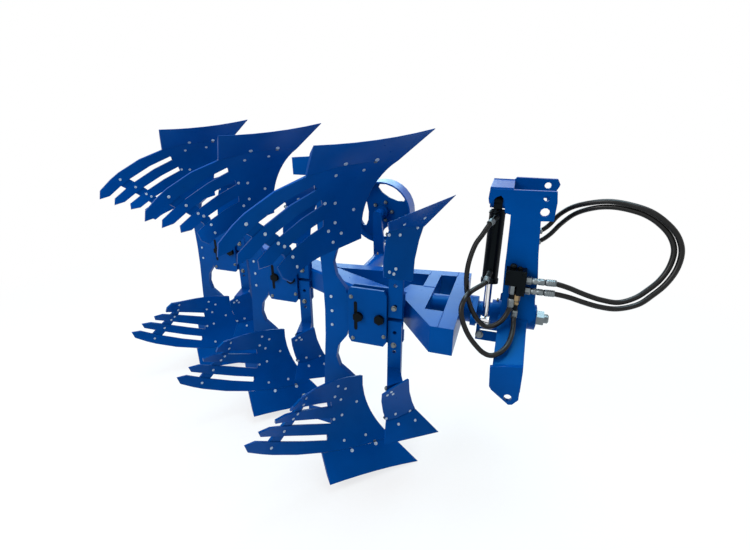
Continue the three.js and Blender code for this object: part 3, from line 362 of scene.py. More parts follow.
def bead(bm, corners, radius, closed=False):
    """A weld run: small overlapping ripples along a line."""
    pts = [placed(*c) for c in corners]
    if closed:
        pts.append(pts[0])
    line = []
    for a, b in zip(pts, pts[1:]):
        count = max(1, round((b - a).length / (radius * BEAD_STEP_SHARE)))
        line += [a.lerp(b, k / count) for k in range(count)]
    line.append(pts[-1])
    radii = [radius * (1.0 if i % 2 else BEAD_DIP_SHARE) for i in range(len(line))]
    sweep(bm, line, radii, BEAD_SIDES)


def circle(x, y, z, radius, axis, count=40):
    """Corners of a circle about an axis along X or Y."""
    corners = []
    for k in range(count):
        a = math.tau * k / count
        side, rise = radius * math.cos(a), radius * math.sin(a)
        corners.append((x, y + side, z + rise) if axis == "x" else (x + side, y, z + rise))
    return corners


# Nuts, bolt heads and fittings, each standing on the XY plane of its place
def bolt_face(bm, place, radius, rise):
    """Countersunk plough bolt: a flat face with a rolled edge and a shallow dish."""
    turned(bm, place, [
        (0, -radius * 0.5), (radius * 0.55, -radius * 0.5), (radius, -rise * 0.4), (radius, rise * 0.5),
        (radius * 0.9, rise), (radius * 0.5, rise * 1.05), (radius * 0.42, rise * 0.8), (0, rise * 0.75)])


def hex_nut(bm, place, flats, height, stud=0.0):
    """Hexagon nut with chamfered corners, and the stud's end standing out of it."""
    corner = flats / math.sqrt(3)
    turned(bm, place, [
        (0, 0), (corner, 0), (corner, height * 0.82), (corner * 0.88, height), (0, height)],
        sides=6, smooth=False)
    if stud:
        r = corner * 0.52
        turned(bm, place, [
            (0, height * 0.2), (r, height * 0.2), (r, height + stud * 0.85), (r * 0.8, height + stud),
            (0, height + stud)], sides=12)


def hex_head(bm, place, flats, height):
    """Hexagon head on its washer, with a pressed washer face and chamfered corners."""
    corner = flats / math.sqrt(3)
    turned(bm, place, [
        (0, 0), (corner * 1.22, 0), (corner * 1.22, height * 0.18), (corner * 0.9, height * 0.24),
        (0, height * 0.24)], sides=20)
    turned(bm, place, [
        (0, height * 0.2), (corner * 0.9, height * 0.2), (corner, height * 0.26), (corner, height * 0.9),
        (corner * 0.9, height), (corner * 0.6, height), (corner * 0.55, height * 0.93), (0, height * 0.93)],
        sides=6, smooth=False)


def threaded(bm, place, radius, length, pitch):
    """A stud's end with its V thread and chamfered tip."""
    core = radius * 0.9
    profile = [(0, -0.002), (core, -0.002)]
    for k in range(int(length / pitch)):
        profile += [(core, pitch * k), (radius, pitch * (k + 0.5))]
    profile += [(core, length), (radius * 0.75, length + pitch), (0, length + pitch)]
    turned(bm, place, profile, sides=24)


NIPPLE = [
    (0, 0), (0.0052, 0.0), (0.0052, 0.004), (0.003, 0.0045), (0.003, 0.008), (0.0036, 0.009),
    (0.0028, 0.012), (0, 0.0125)]


def grease_nipples(bm, spots, normal):
    for spot in spots:
        turned(bm, facing(placed(*spot), normal), NIPPLE, sides=12)


# Hoses: routes from the valve, through listed points, in the plough's own frame
UPPER_HOSE = [
    (583.9, 72.7, 135.7), (583.9, 72.7, 110), (578, 68, 80), (560, 56, 46), (535, 50, 24), (506, 48, 15),
    (477, 48, 34), (452, 50, 66), (430, 54, 114), (418, 56, 172), (415, 62, 232), (422, 76, 284),
    (436, 92, 330), (455, 104, 362), (476.7, 115, 401.4), (484.9, 134, 408)]
LOWER_HOSE = [
    (602.2, 82.7, 85.9), (602.2, 82.7, 62), (604, 64, 36), (602, 22, 12), (588, -30, -12), (564, -57, -30),
    (536, -64, -41), (509, -64, -34), (483, -63, -12), (457, -62, 18), (437, -60, 52), (422, -55, 87),
    (415, -42, 121), (423, -16, 150), (440, 30, 162), (484.7, 65, 189.1), (489.9, 88.3, 198.4)]
TRACTOR_HOSE_1 = [
    (695.3, 82.7, 210), (725, 82.7, 210), (772, 84, 200), (811, 88, 186), (847, 92, 174), (888, 98, 163),
    (945, 108, 157), (996, 120, 177), (1032, 132, 208), (1064, 145, 245), (1086, 158, 295),
    (1090, 172, 349), (1072, 188, 392), (1036, 205, 427), (992, 222, 451), (931, 245, 463), (884, 262, 463),
    (838, 280, 452), (783, 312, 420), (741, 345, 368), (702, 354, 312), (669, 357, 284.8),
    (641.4, 357, 284.8)]
TRACTOR_HOSE_2 = [
    (695.3, 82.7, 170), (730, 82.7, 170), (780, 82, 164), (830, 82, 152), (880, 84, 142), (940, 93, 138),
    (1006, 105, 160), (1045, 118, 195), (1080, 131, 237), (1104, 144, 292), (1108, 158, 351),
    (1089, 174, 399), (1051, 191, 438), (1003, 210, 467), (936, 236, 482), (880, 256, 484), (822, 280, 470),
    (765, 316, 441), (725, 348, 398), (696, 357, 352), (669, 357, 329.8), (641.4, 357, 329.8)]
HOSE_RADIUS = 0.0095
HOSE_SIDES = 16
STEPS_PER_SPAN = 6
LEAST_SPAN = 1e-6

# Places along a cylinder hose: before the first it belongs with the headstock, after the second with the cylinder;
# cylinder_hose takes them but does not use them
UPPER_BLEND = ((556, 0, 72), (380, 0, 306))
LOWER_BLEND = ((588, 0, 78), (500, 0, 196))

FERRULE_REACH = 0.036
PORT_FERRULE_REACH = 0.026
FERRULE_RINGS = 4


def spline_points(points):
    """Points of the centripetal curve through the route."""
    pts = [placed(*p) for p in points]
    pts = [pts[0] * 2 - pts[1]] + pts + [pts[-1] * 2 - pts[-2]]
    out = []
    for a, b, c, d in zip(pts, pts[1:], pts[2:], pts[3:]):
        ta = 0.0
        tb = ta + max((b - a).length, LEAST_SPAN) ** 0.5
        tc = tb + max((c - b).length, LEAST_SPAN) ** 0.5
        td = tc + max((d - c).length, LEAST_SPAN) ** 0.5
        for k in range(STEPS_PER_SPAN):
            t = tb + (tc - tb) * k / STEPS_PER_SPAN
            ab = a * ((tb - t) / (tb - ta)) + b * ((t - ta) / (tb - ta))
            bc = b * ((tc - t) / (tc - tb)) + c * ((t - tb) / (tc - tb))
            cd = c * ((td - t) / (td - tc)) + d * ((t - tc) / (td - tc))
            abc = ab * ((tc - t) / (tc - ta)) + bc * ((t - ta) / (tc - ta))
            bcd = bc * ((td - t) / (td - tb)) + cd * ((t - tb) / (td - tb))
            out.append(abc * ((tc - t) / (tc - tb)) + bcd * ((t - tb) / (tc - tb)))
    out.append(pts[-2])
    return out


def ferrule(name, line, body, far_end=False, reach=FERRULE_REACH):
    """Crimped sleeve at one end of a hose, with its pressed rings."""
    start, nearby = (line[-1], line[-4]) if far_end else (line[0], line[3])
    place = facing(start, nearby - start)
    r = HOSE_RADIUS
    profile = [(r * 0.6, -0.001), (r * 1.25, 0), (r * 1.25, reach * 0.12)]
    for k in range(FERRULE_RINGS):
        at = reach * (0.2 + 0.18 * k)
        profile += [(r * 1.34, at), (r * 1.34, at + reach * 0.09), (r * 1.2, at + reach * 0.12)]
    profile += [(r * 1.3, reach * 0.95), (r * 1.02, reach), (r * 0.9, reach * 0.9)]
    return piece(name, lambda bm: turned(bm, place, profile, sides=20, ring=True), PLATED, body)


def hose_object(name, points):
    line = spline_points(points)
    bm = bmesh.new()
    sweep(bm, line, [HOSE_RADIUS] * len(line), HOSE_SIDES)
    material, slot = COVER
    obj = new_object(name, bm, material)
    return obj, line


def tractor_hose(index, points):
    """Stiff loop from the valve round to its parked connector."""
    hose, line = hose_object(f"tractor_hose_rubber_{index}", points)
    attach(hose, "headstock_body")
    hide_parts(f"tractor_hose_{index}")
    near = ferrule(f"tractor_hose_ferrule_{index}", line, "headstock_body")
    far = ferrule(f"connector_ferrule_{index}", line, "headstock_body", far_end=True)


def cylinder_hose(label, points, start, end):
    """Hanging hose from the valve to the barrel, which swings."""
    hose, line = hose_object(f"cylinder_hose_rubber_{label}", points)
    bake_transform(hose)
    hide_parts(f"cylinder_hose_{label}")
    valve_end = ferrule(f"cylinder_hose_ferrule_{label}", line, "headstock_body")
    port_end = ferrule(
        f"cylinder_port_ferrule_{label}", line, "cylinder_body", far_end=True, reach=PORT_FERRULE_REACH)


tractor_hose(1, TRACTOR_HOSE_1)
tractor_hose(2, TRACTOR_HOSE_2)
cylinder_hose("upper", UPPER_HOSE, *UPPER_BLEND)
cylinder_hose("lower", LOWER_HOSE, *LOWER_BLEND)


# Fasteners: places on the front pair of bodies, in the plough's own frame. Places on a board,
# share, skimmer or landside are those of the lower body, and the upper body mirrors them.
FURROWS = 3
HALVES = (("lower", 1), ("upper", -1))
# From one pair of bodies to the next, and the way that the boards face
PITCH = Vector((-0.544, 0.265, 0))
OUTWARD = Vector((0.78, -0.6, 0.0))

BOARD_BOLTS = [
    (-40, -93, -580), (35, -18, -592), (-87, -90, -479), (-63, -56, -475), (-17, 10, -441),
    (-70, -47, -400), (-55, -25, -355), (-88, -70, -372), (-77, -55, -326)]
STRAP_BOLTS = [
    (-245, -345, -455), (-215, -290, -410), (-190, -255, -370), (-175, -240, -355), (-155, -225, -315),
    (-140, -225, -280)]
SHARE_BOLTS = [(0, -99, -621), (83, -17, -629)]
SKIMMER_BOLTS = [
    (188, -78, -386), (240, -24, -402), (205, -87, -427), (262, -27, -440), (159, -111, -392),
    (164, -103, -252), (148, -112, -262), (172, -96, -268)]
LANDSIDE_BOLTS = [(-120, 48, -583), (-30, 48, -578), (60, 48, -592)]
UPPER_SHANK_BOLTS = [(146, 16, 50)]
LOWER_SHANK_BOLTS = [(148, 16, -118)]
CHEEK_BOLTS = [(-31, 0, 84), (109, 0, -78), (-26, 0, -106)]
LEG_BOLTS = [(-122, 13, 0), (-124, 13, 66), (-124, 13, -66)]
STOP_BOLTS = [(478, 168, -92)]

# Bolts of the soil-working faces: name, node that carries them, places and face radius
SOIL_BOLTS = (
    ("mouldboard", "mouldboard", BOARD_BOLTS, 0.0062),
    ("strap", "mouldboard", STRAP_BOLTS, 0.0062),
    ("share", "share", SHARE_BOLTS, 0.008),
    ("skimmer_body", "skimmer_body", SKIMMER_BOLTS, 0.006),
)
SOIL_BOLT_RISE = 0.0014

# Sizes in metres: face radius and rise, or flats and height, and a stud's length
LANDSIDE_FACE = (0.009, 0.0012)
LEG_FACE = (0.0065, 0.003)
SHANK_HEAD = (0.017, 0.009)
CHEEK_HEAD = (0.012, 0.006)
STOP_HEAD = (0.024, 0.012)
CHEEK_NUT = (0.013, 0.008, 0.004)
LEG_NUT = (0.017, 0.01, 0.005)

# How far off the skin a fastener starts to look for its seat, and how far it looks
SEAT_START = 0.08
SEAT_RANGE = 0.2

trees = {}


def surface_of(node):
    if node not in trees:
        mesh = nodes[node].data
        faces = [p.vertices for p in mesh.polygons]
        trees[node] = BVHTree.FromPolygons([v.co for v in mesh.vertices], faces)
    return trees[node]


def seated(node, point, toward):
    """Where a node's skin is first met on the way in to point from one side, and its normal there."""
    toward = Vector(toward).normalized()
    hit, normal, _, _ = surface_of(node).ray_cast(point + toward * SEAT_START, -toward, SEAT_RANGE)
    if hit is None:
        hit, normal, _, _ = surface_of(node).find_nearest(point)
    return hit, normal


def fasten(name, node, spots, toward, draw, sizes, finish, offset=Vector(), body="frame_body"):
    """A set of fasteners seated on a node's skin as seen from one side."""
    bm = bmesh.new()
    for spot in spots:
        hit, normal = seated(node, placed(*spot) + offset, toward)
        if normal.dot(toward) < 0:
            normal = -normal
        draw(bm, facing(hit, normal), *sizes)
    return link(name, bm, finish, body)


def body_bolts(number, half, sign, offset):
    """Bolts of one body: board, strap, share, skimmer, landside and shank."""
    tail = f"{half}_{number}"
    for part, carrier, spots, radius in SOIL_BOLTS:
        node = f"{carrier}_{tail}"
        here = [(x, y, z * sign) for x, y, z in spots]
        face = (radius, SOIL_BOLT_RISE)
        nut = (radius * 2.4, radius * 1.1, radius * 0.5)
        fasten(f"{part}_bolts_{tail}", node, here, OUTWARD, bolt_face, face, WORN, offset)
        fasten(f"{part}_nuts_{tail}", node, here, -OUTWARD, hex_nut, nut, PLATED, offset)
    here = [(x, y, z * sign) for x, y, z in LANDSIDE_BOLTS]
    fasten(f"landside_bolts_{tail}", f"landside_{tail}", here, FAR, bolt_face, LANDSIDE_FACE, WORN, offset)
    here = LOWER_SHANK_BOLTS if sign > 0 else UPPER_SHANK_BOLTS
    shank = f"skimmer_shank_{tail}"
    fasten(f"shank_bolts_{tail}", shank, here, NEAR, hex_head, SHANK_HEAD, PLATED, offset)


def bracket_bolts(number, offset):
    """Bolts of one bracket and leg, and a black strip painted as the shadow in the gap between leg and cheek."""
    bracket, leg = f"bracket_{number}", f"leg_{number}"
    fasten(f"cheek_bolts_{number}", bracket, CHEEK_BOLTS, NEAR, hex_head, CHEEK_HEAD, PLATED, offset)
    fasten(f"cheek_nuts_{number}", bracket, CHEEK_BOLTS, -NEAR, hex_nut, CHEEK_NUT, PLATED, offset)
    fasten(f"leg_bolts_{number}", leg, LEG_BOLTS, NEAR, bolt_face, LEG_FACE, WORN, offset)
    fasten(f"leg_nuts_{number}", leg, LEG_BOLTS, FAR, hex_nut, LEG_NUT, PLATED, offset)
    # A black strip painted as shade, where the leg's edge casts its shadow on the cheek
    piece(f"shear_slot_{number}", lambda bm: painted_shadow_strip(bm, offset), BLACKENED, "frame_body")


# Painted shadow strip in the gap between leg and cheek: middle, half the length between its round ends, and their
# radius
SHADOW_STRIP_X = -12
SHADOW_STRIP_HALF = 58
SHADOW_STRIP_RADIUS = 7.5
SHADOW_STRIP_STEPS = 8
SHADOW_STRIP_END_SHARE = 0.12
# Rims from inside the cheek to the strip's middle: share of the outline, and place in Y
SHADOW_STRIP_RIMS = ((1.0, 1.0), (1.0, 0.0), (0.97, -0.5), (0.8, -0.5), (0.72, -0.2))


def painted_shadow_strip(bm, offset):
    """Dark strip with rounded ends and a dished middle on the near cheek, painted as the shadow of the gap between
    leg and cheek.
    """
    outline = []
    for side, turn in ((1, 0), (-1, math.pi)):
        for step in range(SHADOW_STRIP_STEPS + 1):
            a = turn + math.pi * step / SHADOW_STRIP_STEPS
            x = SHADOW_STRIP_X + SHADOW_STRIP_RADIUS * math.cos(a)
            z = side * SHADOW_STRIP_HALF + SHADOW_STRIP_RADIUS * math.sin(a)
            outline.append((x, z))
    rims = []
    for share, y in SHADOW_STRIP_RIMS:
        along = 1 - (1 - share) * SHADOW_STRIP_END_SHARE
        rim = [placed(SHADOW_STRIP_X + (x - SHADOW_STRIP_X) * share, y, z * along) + offset for x, z in outline]
        rims.append([bm.verts.new(point) for point in rim])
    join_rings(bm, rims, smooth=False)


# Headstock: places in the plough's own frame, sizes and turned profiles in metres
SPINDLE_Y = 220
THREAD_X = 721
# Radius, length and pitch
THREAD = (0.0195, 0.016, 0.003)
WASHER_X = 689.5
WASHER = [(0.021, 0.0), (0.043, 0.0), (0.0435, 0.0015), (0.043, 0.003), (0.021, 0.003)]
NIPPLE_ROW = ((536, SPINDLE_Y, 52), (604, SPINDLE_Y, 52), (672, SPINDLE_Y, 52))

VALVE_FACE = 60.7
PORT_Y = 82.7
FORWARD_PORTS = (210, 170)
FORWARD_PORT_X = 629
FORWARD_NUT = (0.026, 0.018)
SLEEVE_X = 648
SLEEVE = [
    (0.0101, 0), (0.0118, 0.001), (0.0118, 0.014), (0.0108, 0.016), (0.0108, 0.022), (0.0122, 0.024),
    (0.0122, 0.04), (0.0101, 0.046)]
SILVER_PORT = (583.9, 72.7, 189)
SILVER_NUT = (0.0235, 0.034)
BRASS_PORT = (602.2, PORT_Y, 152)
BRASS_NUT = (0.0235, 0.03)
BRASS_COLLAR_AT = (602.2, PORT_Y, 122)
BRASS_COLLAR = [(0.0101, 0), (0.0115, 0.001), (0.0115, 0.012), (0.0101, 0.013)]
VALVE_SCREWS = ((563, 240), (618, 240), (563, 200), (618, 170))
VALVE_SCREW = (0.011, 0.005)
PLUG_AT = (602, PORT_Y, 250)
PLUG = (0.017, 0.008, 0.003)
SPOOL_AT = (578.3, PORT_Y, 265)
SPOOL_CAP = [(0, -0.012), (0.0122, -0.012), (0.0122, -0.002), (0.009, 0.003), (0, 0.003)]


def spindle_washer(bm):
    turned(bm, facing(placed(WASHER_X, SPINDLE_Y, 0), AHEAD), WASHER, sides=36, ring=True)


def forward_fitting(bm, z):
    hex_nut(bm, facing(placed(FORWARD_PORT_X, PORT_Y, z), AHEAD), *FORWARD_NUT)
    turned(bm, facing(placed(SLEEVE_X, PORT_Y, z), AHEAD), SLEEVE, sides=24, ring=True)


def brass_fitting(bm):
    hex_nut(bm, facing(placed(*BRASS_PORT), -UP), *BRASS_NUT)
    turned(bm, facing(placed(*BRASS_COLLAR_AT), -UP), BRASS_COLLAR, sides=20, ring=True)


def valve_screws(bm):
    for x, z in VALVE_SCREWS:
        hex_head(bm, facing(placed(x, VALVE_FACE, z), NEAR), *VALVE_SCREW)


def headstock_fittings():
    body = "headstock_body"
    thread = facing(placed(THREAD_X, SPINDLE_Y, 0), AHEAD)
    silver_port = facing(placed(*SILVER_PORT), -UP)
    plug = facing(placed(*PLUG_AT), UP)
    spool = facing(placed(*SPOOL_AT), UP)
    piece("spindle_thread", lambda bm: threaded(bm, thread, *THREAD), PLATED, "frame_body")
    piece("spindle_washer", spindle_washer, PLATED, "frame_body")
    for index, z in enumerate(FORWARD_PORTS, 1):
        piece(f"forward_fitting_{index}", lambda bm: forward_fitting(bm, z), PLATED, body)
    piece("down_fitting_silver", lambda bm: hex_nut(bm, silver_port, *SILVER_NUT), PLATED, body)
    piece("down_fitting_brass", brass_fitting, BRAZEN, body)
    piece("valve_screws", valve_screws, BLACKENED, body)
    piece("valve_plugs", lambda bm: hex_nut(bm, plug, *PLUG), BLACKENED, body)
    piece("spool_cap", lambda bm: turned(bm, spool, SPOOL_CAP, sides=20), BLACKENED, body)
    fasten("stop_bolt", "turnover_stop", STOP_BOLTS, NEAR, hex_head, STOP_HEAD, PLATED, body=body)


# Cylinder: its top pin, the way its rod points, and rings at their reach from the pin
DOWN = Vector((0, -0.20811, -0.97811))
PIN = (496, SPINDLE_Y, 470)
PIN_NIPPLE = (532, SPINDLE_Y, 470)
GLAND_REACH = 0.300
GLAND = [
    (0.0295, 0), (0.0325, 0.001), (0.0335, 0.003), (0.0335, 0.019), (0.0325, 0.022), (0.026, 0.0225),
    (0.019, 0.0225), (0.019, 0)]
ROD_WIPER_REACH = 0.322
ROD_WIPER = [(0.0145, 0), (0.021, 0), (0.0205, 0.002), (0.0155, 0.0035), (0.0145, 0.0025)]
BARREL_WELD_REACH = 0.044
BARREL_WELD = [(0.0295, 0), (0.0318, 0.0015), (0.0322, 0.004), (0.0318, 0.0065), (0.0295, 0.008)]


def cylinder_ring(name, reach, profile, sides, finish):
    place = facing(placed(*PIN) + DOWN * reach, DOWN)
    piece(name, lambda bm: turned(bm, place, profile, sides, ring=True), finish, "cylinder_body")


def cylinder_details():
    cylinder_ring("cylinder_gland", GLAND_REACH, GLAND, sides=32, finish=BLACKENED)
    cylinder_ring("rod_wiper", ROD_WIPER_REACH, ROD_WIPER, sides=28, finish=WIPER)
    cylinder_ring("barrel_weld", BARREL_WELD_REACH, BARREL_WELD, sides=32, finish=BLACKENED)


# Wheel and arm: places in the plough's own frame, sizes and turned profiles in metres
HUB_X = -145
HUB_Z = 250
PIVOT_X = -130
WHEEL_BOLT_CIRCLE = 54
WHEEL_BOLT_COUNT = 5
DISC_NEAR = 801.6
DISC_FAR = 809.6
WHEEL_HEAD = (0.019, 0.010)
WHEEL_NUT = (0.019, 0.012, 0.006)
HUB_FLANGE = [
    (0.034, 0.0), (0.068, 0.0), (0.069, 0.001), (0.069, 0.0045), (0.067, 0.006), (0.04, 0.0065),
    (0.034, 0.010)]
AXLE_WASHER_Y = 828.4
AXLE_WASHER = [(0.0162, 0), (0.029, 0), (0.0295, 0.001), (0.029, 0.003), (0.0162, 0.003)]
AXLE_NUT_Y = 831.5
AXLE_NUT = (0.048, 0.014)
KEEPER_Y = 736.3
KEEPER = [(0.0, -0.0005), (0.030, -0.0005), (0.031, 0.001), (0.030, 0.005), (0.0, 0.0055)]
KEEPER_HEAD_Y = 741.5
KEEPER_HEAD = (0.019, 0.009)
ARM_NIPPLE = (PIVOT_X, 660, 38)

# Weld runs round the wheel's disc and hub, and round the arm's ends: plane and radius
WHEEL_WELDS = ((801.4, 163.4), (809.8, 163.4), (801.4, 34.5))
WHEEL_BEAD = 0.0026
WHEEL_WELD_STEPS = 72
ARM_SLEEVE_WELD = (687.5, 38.4)
ARM_AXLE_WELD = (712.4, 24.3)


def bolt_circle():
    angles = [math.tau * k / WHEEL_BOLT_COUNT for k in range(WHEEL_BOLT_COUNT)]
    radius = WHEEL_BOLT_CIRCLE
    return [(HUB_X + radius * math.cos(a), HUB_Z + radius * math.sin(a)) for a in angles]


def wheel_bolts(bm):
    for x, z in bolt_circle():
        hex_head(bm, facing(placed(x, DISC_FAR, z), FAR), *WHEEL_HEAD)


def wheel_nuts(bm):
    for x, z in bolt_circle():
        hex_nut(bm, facing(placed(x, DISC_NEAR, z), NEAR), *WHEEL_NUT)


def hub_flange(bm):
    turned(bm, facing(placed(HUB_X, DISC_FAR, HUB_Z), FAR), HUB_FLANGE, sides=40, ring=True)


def axle_nut(bm):
    turned(bm, facing(placed(HUB_X, AXLE_WASHER_Y, HUB_Z), FAR), AXLE_WASHER, sides=32, ring=True)
    hex_nut(bm, facing(placed(HUB_X, AXLE_NUT_Y, HUB_Z), FAR), *AXLE_NUT)


def arm_keeper(bm):
    turned(bm, facing(placed(PIVOT_X, KEEPER_Y, 0), FAR), KEEPER, sides=32)
    hex_head(bm, facing(placed(PIVOT_X, KEEPER_HEAD_Y, 0), FAR), *KEEPER_HEAD)


def wheel_welds(bm):
    for y, radius in WHEEL_WELDS:
        bead(bm, circle(HUB_X, y, HUB_Z, radius, "y", WHEEL_WELD_STEPS), WHEEL_BEAD, closed=True)


def arm_welds(bm):
    sleeve_y, sleeve_radius = ARM_SLEEVE_WELD
    axle_y, axle_radius = ARM_AXLE_WELD
    bead(bm, circle(PIVOT_X, sleeve_y, 0, sleeve_radius, "y"), WIDE_BEAD, closed=True)
    bead(bm, circle(HUB_X, axle_y, HUB_Z, axle_radius, "y"), MIDDLE_BEAD, closed=True)


def wheel_details():
    wheel, arm = "wheel_body", "wheel_arm_body"
    piece("wheel_bolts", wheel_bolts, PLATED, wheel)
    piece("wheel_nuts", wheel_nuts, PLATED, wheel)
    piece("hub_flange", hub_flange, PAINTED, wheel)
    piece("axle_nut", axle_nut, PLATED, arm)
    piece("wheel_welds", wheel_welds, PAINTED, wheel)
    piece("arm_welds", arm_welds, PAINTED, arm)
    piece("arm_keeper", arm_keeper, PLATED, "frame_body")
    piece("arm_grease_nipple", lambda bm: grease_nipples(bm, [ARM_NIPPLE], UP), BRAZEN, arm)


def headstock_nipples():
    body = "headstock_body"
    piece("housing_grease_nipples", lambda bm: grease_nipples(bm, NIPPLE_ROW, UP), BRAZEN, body)
    piece("pin_grease_nipple", lambda bm: grease_nipples(bm, [PIN_NIPPLE], AHEAD), BRAZEN, body)


# Welds of frame, beam and mast: runs in the plough's own frame
# The bars reach this far up and down from the middle plane, and upright runs stop short of that
BAR_HALF = 55
CORNER_HALF = 46
POST_HALF = 52

FRAME_CORNER_RUN = [(143, 141), (159, 172), (131, 186)]
FRAME_SEAMS = (
    [(340, 45), (340, -88)],
    [(340, 432), (340, 488)],
    [(212, 268), (263, 268)],
    [(212, 412), (212, 445)],
)
FRAME_POSTS = ((265, 45), (340, 45), (265, 421), (340, 432), (210, 268), (210, 413))
SPINDLE_TUBE_ENDS = (265.5, 339.5)
SPINDLE_TUBE_RADIUS = 45.5
PIVOT_SLEEVE_Y = 430
PIVOT_SLEEVE_RADIUS = 38.5

BEAM_END_SEAM = [(-1136, 793), (-1176, 710)]
BEAM_END_POSTS = ((-1180, 702), (-1132, 801))

MAST_PLATES = (120, 320)
MAST_TOP = 534
MAST_TOP_RUN = (466, 545)
MAST_UPRIGHTS = (555.5, 571, 637, 652.8)
MAST_UPRIGHT_RUN = (-56, 98)
MAST_PLATE_STEP = 0.5
MAST_TOP_BEAD = 0.0026
HOUSING_ENDS = (555.3, 571.3, 636.9, 652.9)
HOUSING_RADIUS = 52.6
LEG_FACES = (104.2, 335.8)
LEG_FRAME = [(547, -20), (547, 36), (653, 36), (653, -20), (547, -20)]
EAR_FACES = (-72.4, 512.4)
EAR_RUN = (548, 652)
EAR_Z = -98


def upright(bm, x, y, half, radius):
    bead(bm, [(x, y, -half), (x, y, half)], radius)


def frame_welds(bm):
    for z in (BAR_HALF, -BAR_HALF):
        bead(bm, [(x, y, z) for x, y in FRAME_CORNER_RUN], WIDE_BEAD)
        for seam in FRAME_SEAMS:
            bead(bm, [(x, y, z) for x, y in seam], FINE_BEAD)
    upright(bm, *FRAME_CORNER_RUN[-1], CORNER_HALF, WIDE_BEAD)
    for x, y in FRAME_POSTS:
        upright(bm, x, y, POST_HALF, MIDDLE_BEAD)
    for x in SPINDLE_TUBE_ENDS:
        bead(bm, circle(x, SPINDLE_Y, 0, SPINDLE_TUBE_RADIUS, "x"), WIDE_BEAD, closed=True)
    bead(bm, circle(PIVOT_X, PIVOT_SLEEVE_Y, 0, PIVOT_SLEEVE_RADIUS, "y"), WIDE_BEAD, closed=True)


def mast_welds(bm):
    low, high = MAST_UPRIGHT_RUN
    for y in MAST_PLATES:
        bead(bm, [(x, y, MAST_TOP) for x in MAST_TOP_RUN], MAST_TOP_BEAD)
        inner = y + (MAST_PLATE_STEP if y < SPINDLE_Y else -MAST_PLATE_STEP)
        for x in MAST_UPRIGHTS:
            bead(bm, [(x, inner, low), (x, inner, high)], MIDDLE_BEAD)
    for x in HOUSING_ENDS:
        bead(bm, circle(x, SPINDLE_Y, 0, HOUSING_RADIUS, "x"), WIDE_BEAD, closed=True)
    for y in LEG_FACES:
        bead(bm, [(x, y, z) for x, z in LEG_FRAME], WIDE_BEAD)
    for y in EAR_FACES:
        bead(bm, [(x, y, EAR_Z) for x in EAR_RUN], MIDDLE_BEAD)


def beam_welds(bm):
    for z in (BAR_HALF, -BAR_HALF):
        bead(bm, [(x, y, z) for x, y in BEAM_END_SEAM], FINE_BEAD)
    for x, y in BEAM_END_POSTS:
        upright(bm, x, y, CORNER_HALF, FINE_BEAD)


piece("frame_welds", frame_welds, PAINTED, "frame_body")
piece("mast_welds", mast_welds, PAINTED, "headstock_body")
piece("beam_welds", beam_welds, PAINTED, "frame_body")
for furrow in range(FURROWS):
    for half, sign in HALVES:
        body_bolts(furrow + 1, half, sign, PITCH * furrow)
    bracket_bolts(furrow + 1, PITCH * furrow)
headstock_fittings()
cylinder_details()
wheel_details()
headstock_nipples()

# Stage: metres in the row frame
FLOOR_HALF = 40
FLOOR_Z = -0.001
# Distance from the middle of the floor, and the share of plain white that the camera sees there
FLOOR_FADE = (("From Min", 1.2), ("From Max", 3.6), ("To Min", 0.72), ("To Max", 1.0))
WORLD_STRENGTH = 0.55
WHITE = (1, 1, 1, 1)
# Lights: name, place, target, size, energy and colour
LIGHTS = (
    ("key_light", (-1.8, -2.6, 3.2), (0, 0, 0.6), 2.4, 90, (1, 1, 1)),
    ("top_light", (0.6, 0.6, 4.0), (0.2, 0, 0.6), 2.6, 140, (0.62, 0.88, 1)),
    ("back_light", (-1.0, 4.2, 2.4), (0, 0, 0.8), 3.2, 100, (0.5, 0.84, 1)),
)


def combined(tree, operation, first, second):
    node = tree.nodes.new("ShaderNodeMath")
    node.operation = operation
    tree.links.new(first, node.inputs[0])
    tree.links.new(second, node.inputs[1])
    return node.outputs[0]


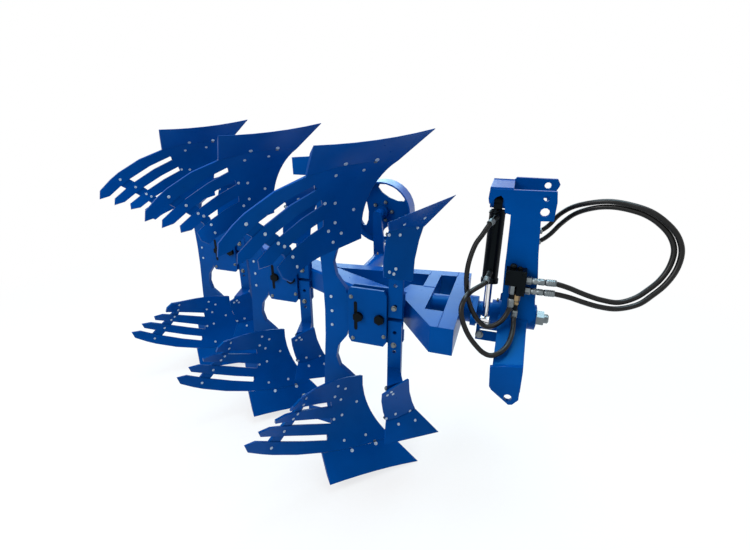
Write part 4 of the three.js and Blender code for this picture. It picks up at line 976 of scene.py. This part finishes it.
def floor_material():
    mat, tree, bsdf = new_material("floor_paper")
    fibre = noise(tree, scale=60.0, detail=4.0)
    tree.links.new(ramp(tree, fibre, grey(0.87), grey(0.9)), bsdf.inputs["Base Color"])
    bsdf.inputs["Roughness"].default_value = 0.9
    bsdf.inputs["Specular IOR Level"].default_value = 0.1
    white = tree.nodes.new("ShaderNodeEmission")
    path = tree.nodes.new("ShaderNodeLightPath")
    seen = combined(tree, "MAXIMUM", path.outputs["Is Camera Ray"], path.outputs["Is Glossy Ray"])
    place = tree.nodes.new("ShaderNodeTexCoord")
    far = tree.nodes.new("ShaderNodeVectorMath")
    far.operation = "LENGTH"
    tree.links.new(place.outputs["Object"], far.inputs[0])
    fade = tree.nodes.new("ShaderNodeMapRange")
    for key, value in FLOOR_FADE:
        fade.inputs[key].default_value = value
    tree.links.new(far.outputs["Value"], fade.inputs["Value"])
    mix = tree.nodes.new("ShaderNodeMixShader")
    tree.links.new(combined(tree, "MULTIPLY", seen, fade.outputs["Result"]), mix.inputs["Fac"])
    tree.links.new(bsdf.outputs[0], mix.inputs[1])
    tree.links.new(white.outputs[0], mix.inputs[2])
    tree.links.new(mix.outputs[0], tree.nodes["Material Output"].inputs["Surface"])
    return mat


def add_stage():
    """Pale paper floor: white to the eye of the camera, and greyer where the plough shades it."""
    bm = bmesh.new()
    corners = ((-1, -1), (1, -1), (1, 1), (-1, 1))
    bm.faces.new([bm.verts.new(Vector((x * FLOOR_HALF, y * FLOOR_HALF, FLOOR_Z))) for x, y in corners])
    floor = new_object("floor", bm, floor_material())


def add_world():
    """White to the camera and in reflections, dimmer as a light."""
    world = bpy.data.worlds.new("studio")
    bpy.context.scene.world = world
    world.use_nodes = True
    tree = world.node_tree
    tree.nodes.clear()
    out = tree.nodes.new("ShaderNodeOutputWorld")
    path = tree.nodes.new("ShaderNodeLightPath")
    lit = tree.nodes.new("ShaderNodeBackground")
    shown = tree.nodes.new("ShaderNodeBackground")
    lit.inputs["Color"].default_value = WHITE
    lit.inputs["Strength"].default_value = WORLD_STRENGTH
    shown.inputs["Color"].default_value = WHITE
    shown.inputs["Strength"].default_value = 1.0
    seen = combined(tree, "MAXIMUM", path.outputs["Is Camera Ray"], path.outputs["Is Glossy Ray"])
    seen = combined(tree, "MAXIMUM", seen, path.outputs["Is Transmission Ray"])
    mix = tree.nodes.new("ShaderNodeMixShader")
    tree.links.new(seen, mix.inputs["Fac"])
    tree.links.new(lit.outputs[0], mix.inputs[1])
    tree.links.new(shown.outputs[0], mix.inputs[2])
    tree.links.new(mix.outputs[0], out.inputs["Surface"])


def area_light(name, place, target, size, energy, colour):
    data = bpy.data.lights.new(name, "AREA")
    data.shape = "DISK"
    data.size = size
    data.energy = energy
    data.color = colour
    lamp = bpy.data.objects.new(name, data)
    lamp.matrix_world = facing(Vector(place), Vector(place) - Vector(target))
    lamp.visible_camera = False
    bpy.context.scene.collection.objects.link(lamp)


add_stage()
add_world()
for light in LIGHTS:
    area_light(*light)

scene = bpy.context.scene
scene.view_settings.view_transform = "Standard"
